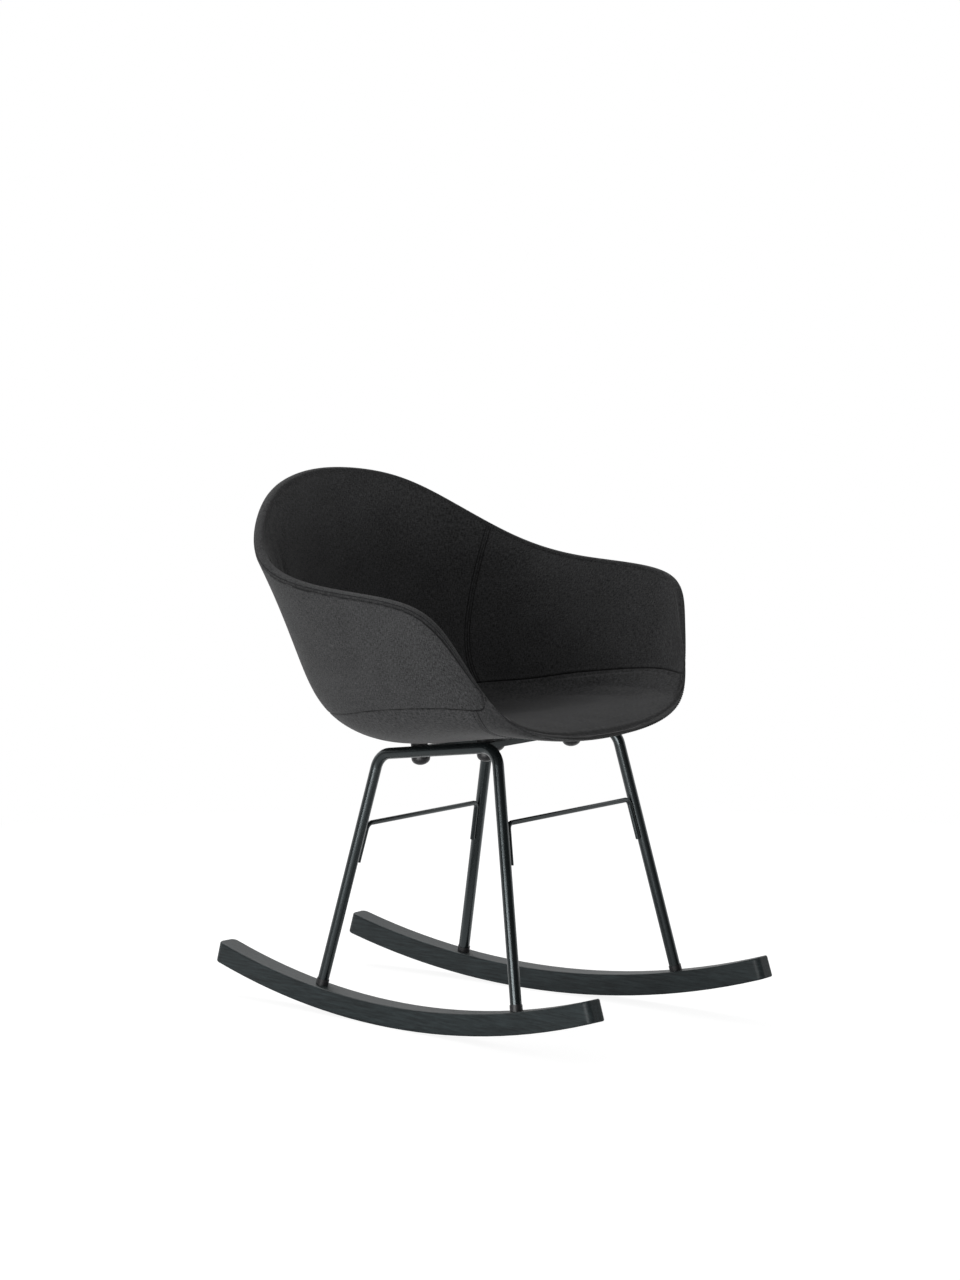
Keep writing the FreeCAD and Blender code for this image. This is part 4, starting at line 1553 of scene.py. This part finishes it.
@dataclass
class Underframe:
    """The rigid pieces of the chair, which keep their shapes and get their finishes."""

    frame_nodes: tuple[str, ...] = (
        "side_frame_right",
        "side_frame_left",
        "front_cross_bar",
        "rear_cross_bar",
        "front_stretcher",
        "rear_stretcher",
    )
    rocker_nodes: tuple[str, ...] = ("rocker_right", "rocker_left")
    steel_nodes: tuple[str, ...] = ("leg_thread_plugs", "rocker_bolts", "rocker_bolt_washers", "seat_bolts")

    def dress(self) -> list[str]:
        """Gives each rigid node its finish.

        Returns:
            The names of the dressed nodes.
        """
        moulded = Moulding("moulded_black").build()
        finishes = {
            PowderCoat().build(): self.frame_nodes,
            StainedWood().build(): self.rocker_nodes,
            PlainMetal("plated_steel", (0.56, 0.56, 0.58)).build(): self.steel_nodes,
            PlainMetal("brass", (0.72, 0.55, 0.28)).build(): ("shell_inserts",),
            moulded: ("leg_ferrules", "seat_bolt_caps"),
            Moulding("spacer_rubber", roughness=0.7).build(): ("seat_spacers",),
            Moulding("shell_plastic", colour=(0.022, 0.022, 0.023), roughness=0.5).build(): ("seat_shell",),
        }
        dressed = []
        for finish, names in finishes.items():
            for name in names:
                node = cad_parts[name]
                node.data.materials.clear()
                node.data.materials.append(finish)
                dressed.append(name)
        return dressed


@dataclass(frozen=True)
class Lamp:
    """A soft rectangular lamp that faces a point, in metres and watts."""

    name: str
    place: tuple[float, float, float]
    target: tuple[float, float, float]
    size: tuple[float, float]
    power: float

    def hang(self) -> None:
        """Adds the lamp to the scene."""
        data = bpy.data.lights.new(self.name, "AREA")
        data.shape = "RECTANGLE"
        data.size, data.size_y = self.size
        data.energy = self.power
        lamp = bpy.data.objects.new(self.name, data)
        lamp.location = self.place
        way = np.array(self.target) - np.array(self.place)
        flat = math.hypot(way[0], way[1])
        lamp.rotation_euler = (math.atan2(flat, -way[2]), 0.0, math.atan2(-way[0], way[1]))
        bpy.context.scene.collection.objects.link(lamp)


@dataclass
class Studio:
    """White room, soft lamps and the photograph's camera, in metres and degrees."""

    camera_place: tuple[float, float, float] = (-4.5925, -3.7974, 1.2586)
    camera_turn: float = 50.414
    camera_drop: float = 6.975
    focal_pixels: float = 4250.0
    image_height: float = 1280.0
    sensor: float = 36.0
    floor_half: float = 60.0
    floor_colour: tuple[float, float, float, float] = (0.9, 0.9, 0.9, 1.0)
    floor_glow: float = 0.62
    floor_white: tuple[float, float, float, float] = (1.42, 1.42, 1.42, 1.0)
    floor_clear: tuple[float, float] = (0.7, 1.8)
    room_light: float = 0.36
    dim_side: float = 0.06
    backdrop_way: tuple[float, float, float] = (0.77, 0.64, 0.0)
    backdrop_edge: float = 0.35
    lamps: tuple[Lamp, ...] = (
        Lamp("overhead_lamp", (0.7, 1.9, 3.0), (0.0, 0.0, 0.4), (2.2, 1.4), 48.0),
        Lamp("low_side_lamp", (-2.6, -0.6, 0.36), (0.0, 0.0, 0.42), (1.9, 0.62), 40.0),
    )

    def _camera(self) -> None:
        """Places the camera as the photograph was taken."""
        data = bpy.data.cameras.new("photograph_view")
        data.sensor_fit = "VERTICAL"
        data.sensor_height = self.sensor
        data.lens = self.sensor * self.focal_pixels / self.image_height
        data.clip_end = 200.0
        camera = bpy.data.objects.new("photograph_view", data)
        camera.location = self.camera_place
        camera.rotation_euler = (math.radians(90.0 - self.camera_drop), 0.0, math.radians(-self.camera_turn))
        bpy.context.scene.collection.objects.link(camera)
        bpy.context.scene.camera = camera

    def _seen(self, graph: Graph) -> tuple[Term, Term]:
        """Tells apart the rays that look at a surface.

        Args:
            graph: the surface's graph.

        Returns:
            One for rays from the camera, and one for rays by way of gloss or glass.
        """
        path = graph.node("ShaderNodeLightPath")
        kinds = ("Is Camera Ray", "Is Glossy Ray", "Is Transmission Ray")
        camera, gloss, glass = (Term(graph, path.outputs[kind]) for kind in kinds)
        return camera, (gloss + glass).least(1.0)

    def _behind(self, graph: Graph, place: Link) -> Term:
        """Tells the camera's side of the room from the backdrop's.

        Args:
            graph: the surface's graph.
            place: coordinates from the chair.

        Returns:
            From 0 on the camera's side to 1 on the backdrop's side.
        """
        sockets = {0: place, 1: self.backdrop_way}
        way = graph.node("ShaderNodeVectorMath", {"operation": "DOT_PRODUCT"}, sockets)
        return (Term(graph, way.outputs["Value"]) / self.backdrop_edge).clamped()

    def _floor(self) -> None:
        """Lays a pale floor, mixed with white where it is seen, so that it keeps only a soft shadow."""
        graph = Graph("studio_floor")
        plain = graph.node("ShaderNodeBsdfDiffuse", None, {"Color": self.floor_colour})
        camera, mirrored = self._seen(graph)
        place = graph.coordinates("Object")
        reach = graph.node("ShaderNodeVectorMath", {"operation": "LENGTH"}, {0: place})
        near, clear = self.floor_clear
        away = ((Term(graph, reach.outputs["Value"]) - near) / (clear - near)).clamped()
        tone = graph.blend(away, self.floor_white, (1.0, 1.0, 1.0, 1.0))
        white = graph.node("ShaderNodeEmission", None, {"Color": tone, "Strength": 1.0})
        seen_share = away * (1.0 - self.floor_glow) + self.floor_glow
        share = camera * seen_share + mirrored * self._behind(graph, place) * self.floor_glow
        mixed = graph.node("ShaderNodeMixShader", None, {0: share, 1: plain.outputs[0], 2: white.outputs[0]})
        graph.node("ShaderNodeOutputMaterial", None, {"Surface": mixed.outputs[0]})
        h = self.floor_half
        corners = np.array([(-h, -h, 0.0), (h, -h, 0.0), (h, h, 0.0), (-h, h, 0.0)])
        floor = new_piece("studio_floor", corners, np.array([[0, 1, 2, 3]]), corners[:, :2], graph.material)

    def _world(self) -> None:
        """Sets white surroundings: all round for the camera, behind the chair for its gloss."""
        world = bpy.data.worlds.new("studio")
        world.use_nodes = True
        graph = Graph("studio_room", world.node_tree)
        behind = self._behind(graph, graph.coordinates("Generated"))
        camera, mirrored = self._seen(graph)
        in_gloss = mirrored * (behind * (1.0 - self.dim_side) + self.dim_side)
        strength = camera + in_gloss + (1.0 - camera - mirrored) * self.room_light
        sky = graph.node("ShaderNodeBackground", None, {"Color": (1.0, 1.0, 1.0, 1.0), "Strength": strength})
        graph.node("ShaderNodeOutputWorld", None, {"Surface": sky.outputs[0]})
        bpy.context.scene.world = world

    def build(self) -> None:
        """Sets the stage."""
        bpy.context.scene.view_settings.view_transform = "Standard"
        self._camera()
        self._floor()
        self._world()
        for lamp in self.lamps:
            lamp.hang()


def main() -> None:
    """Builds the chair's pieces, dresses its rigid nodes and sets the stage."""
    logging.basicConfig(level=logging.INFO, format="%(message)s")
    for piece in Upholstery().build():
        log.info("piece %s: %d faces", piece.name, len(piece.data.polygons))
    for name in Underframe().dress():
        log.info("node %s dressed", name)
    Studio().build()


if __name__ == "__main__":
    main()
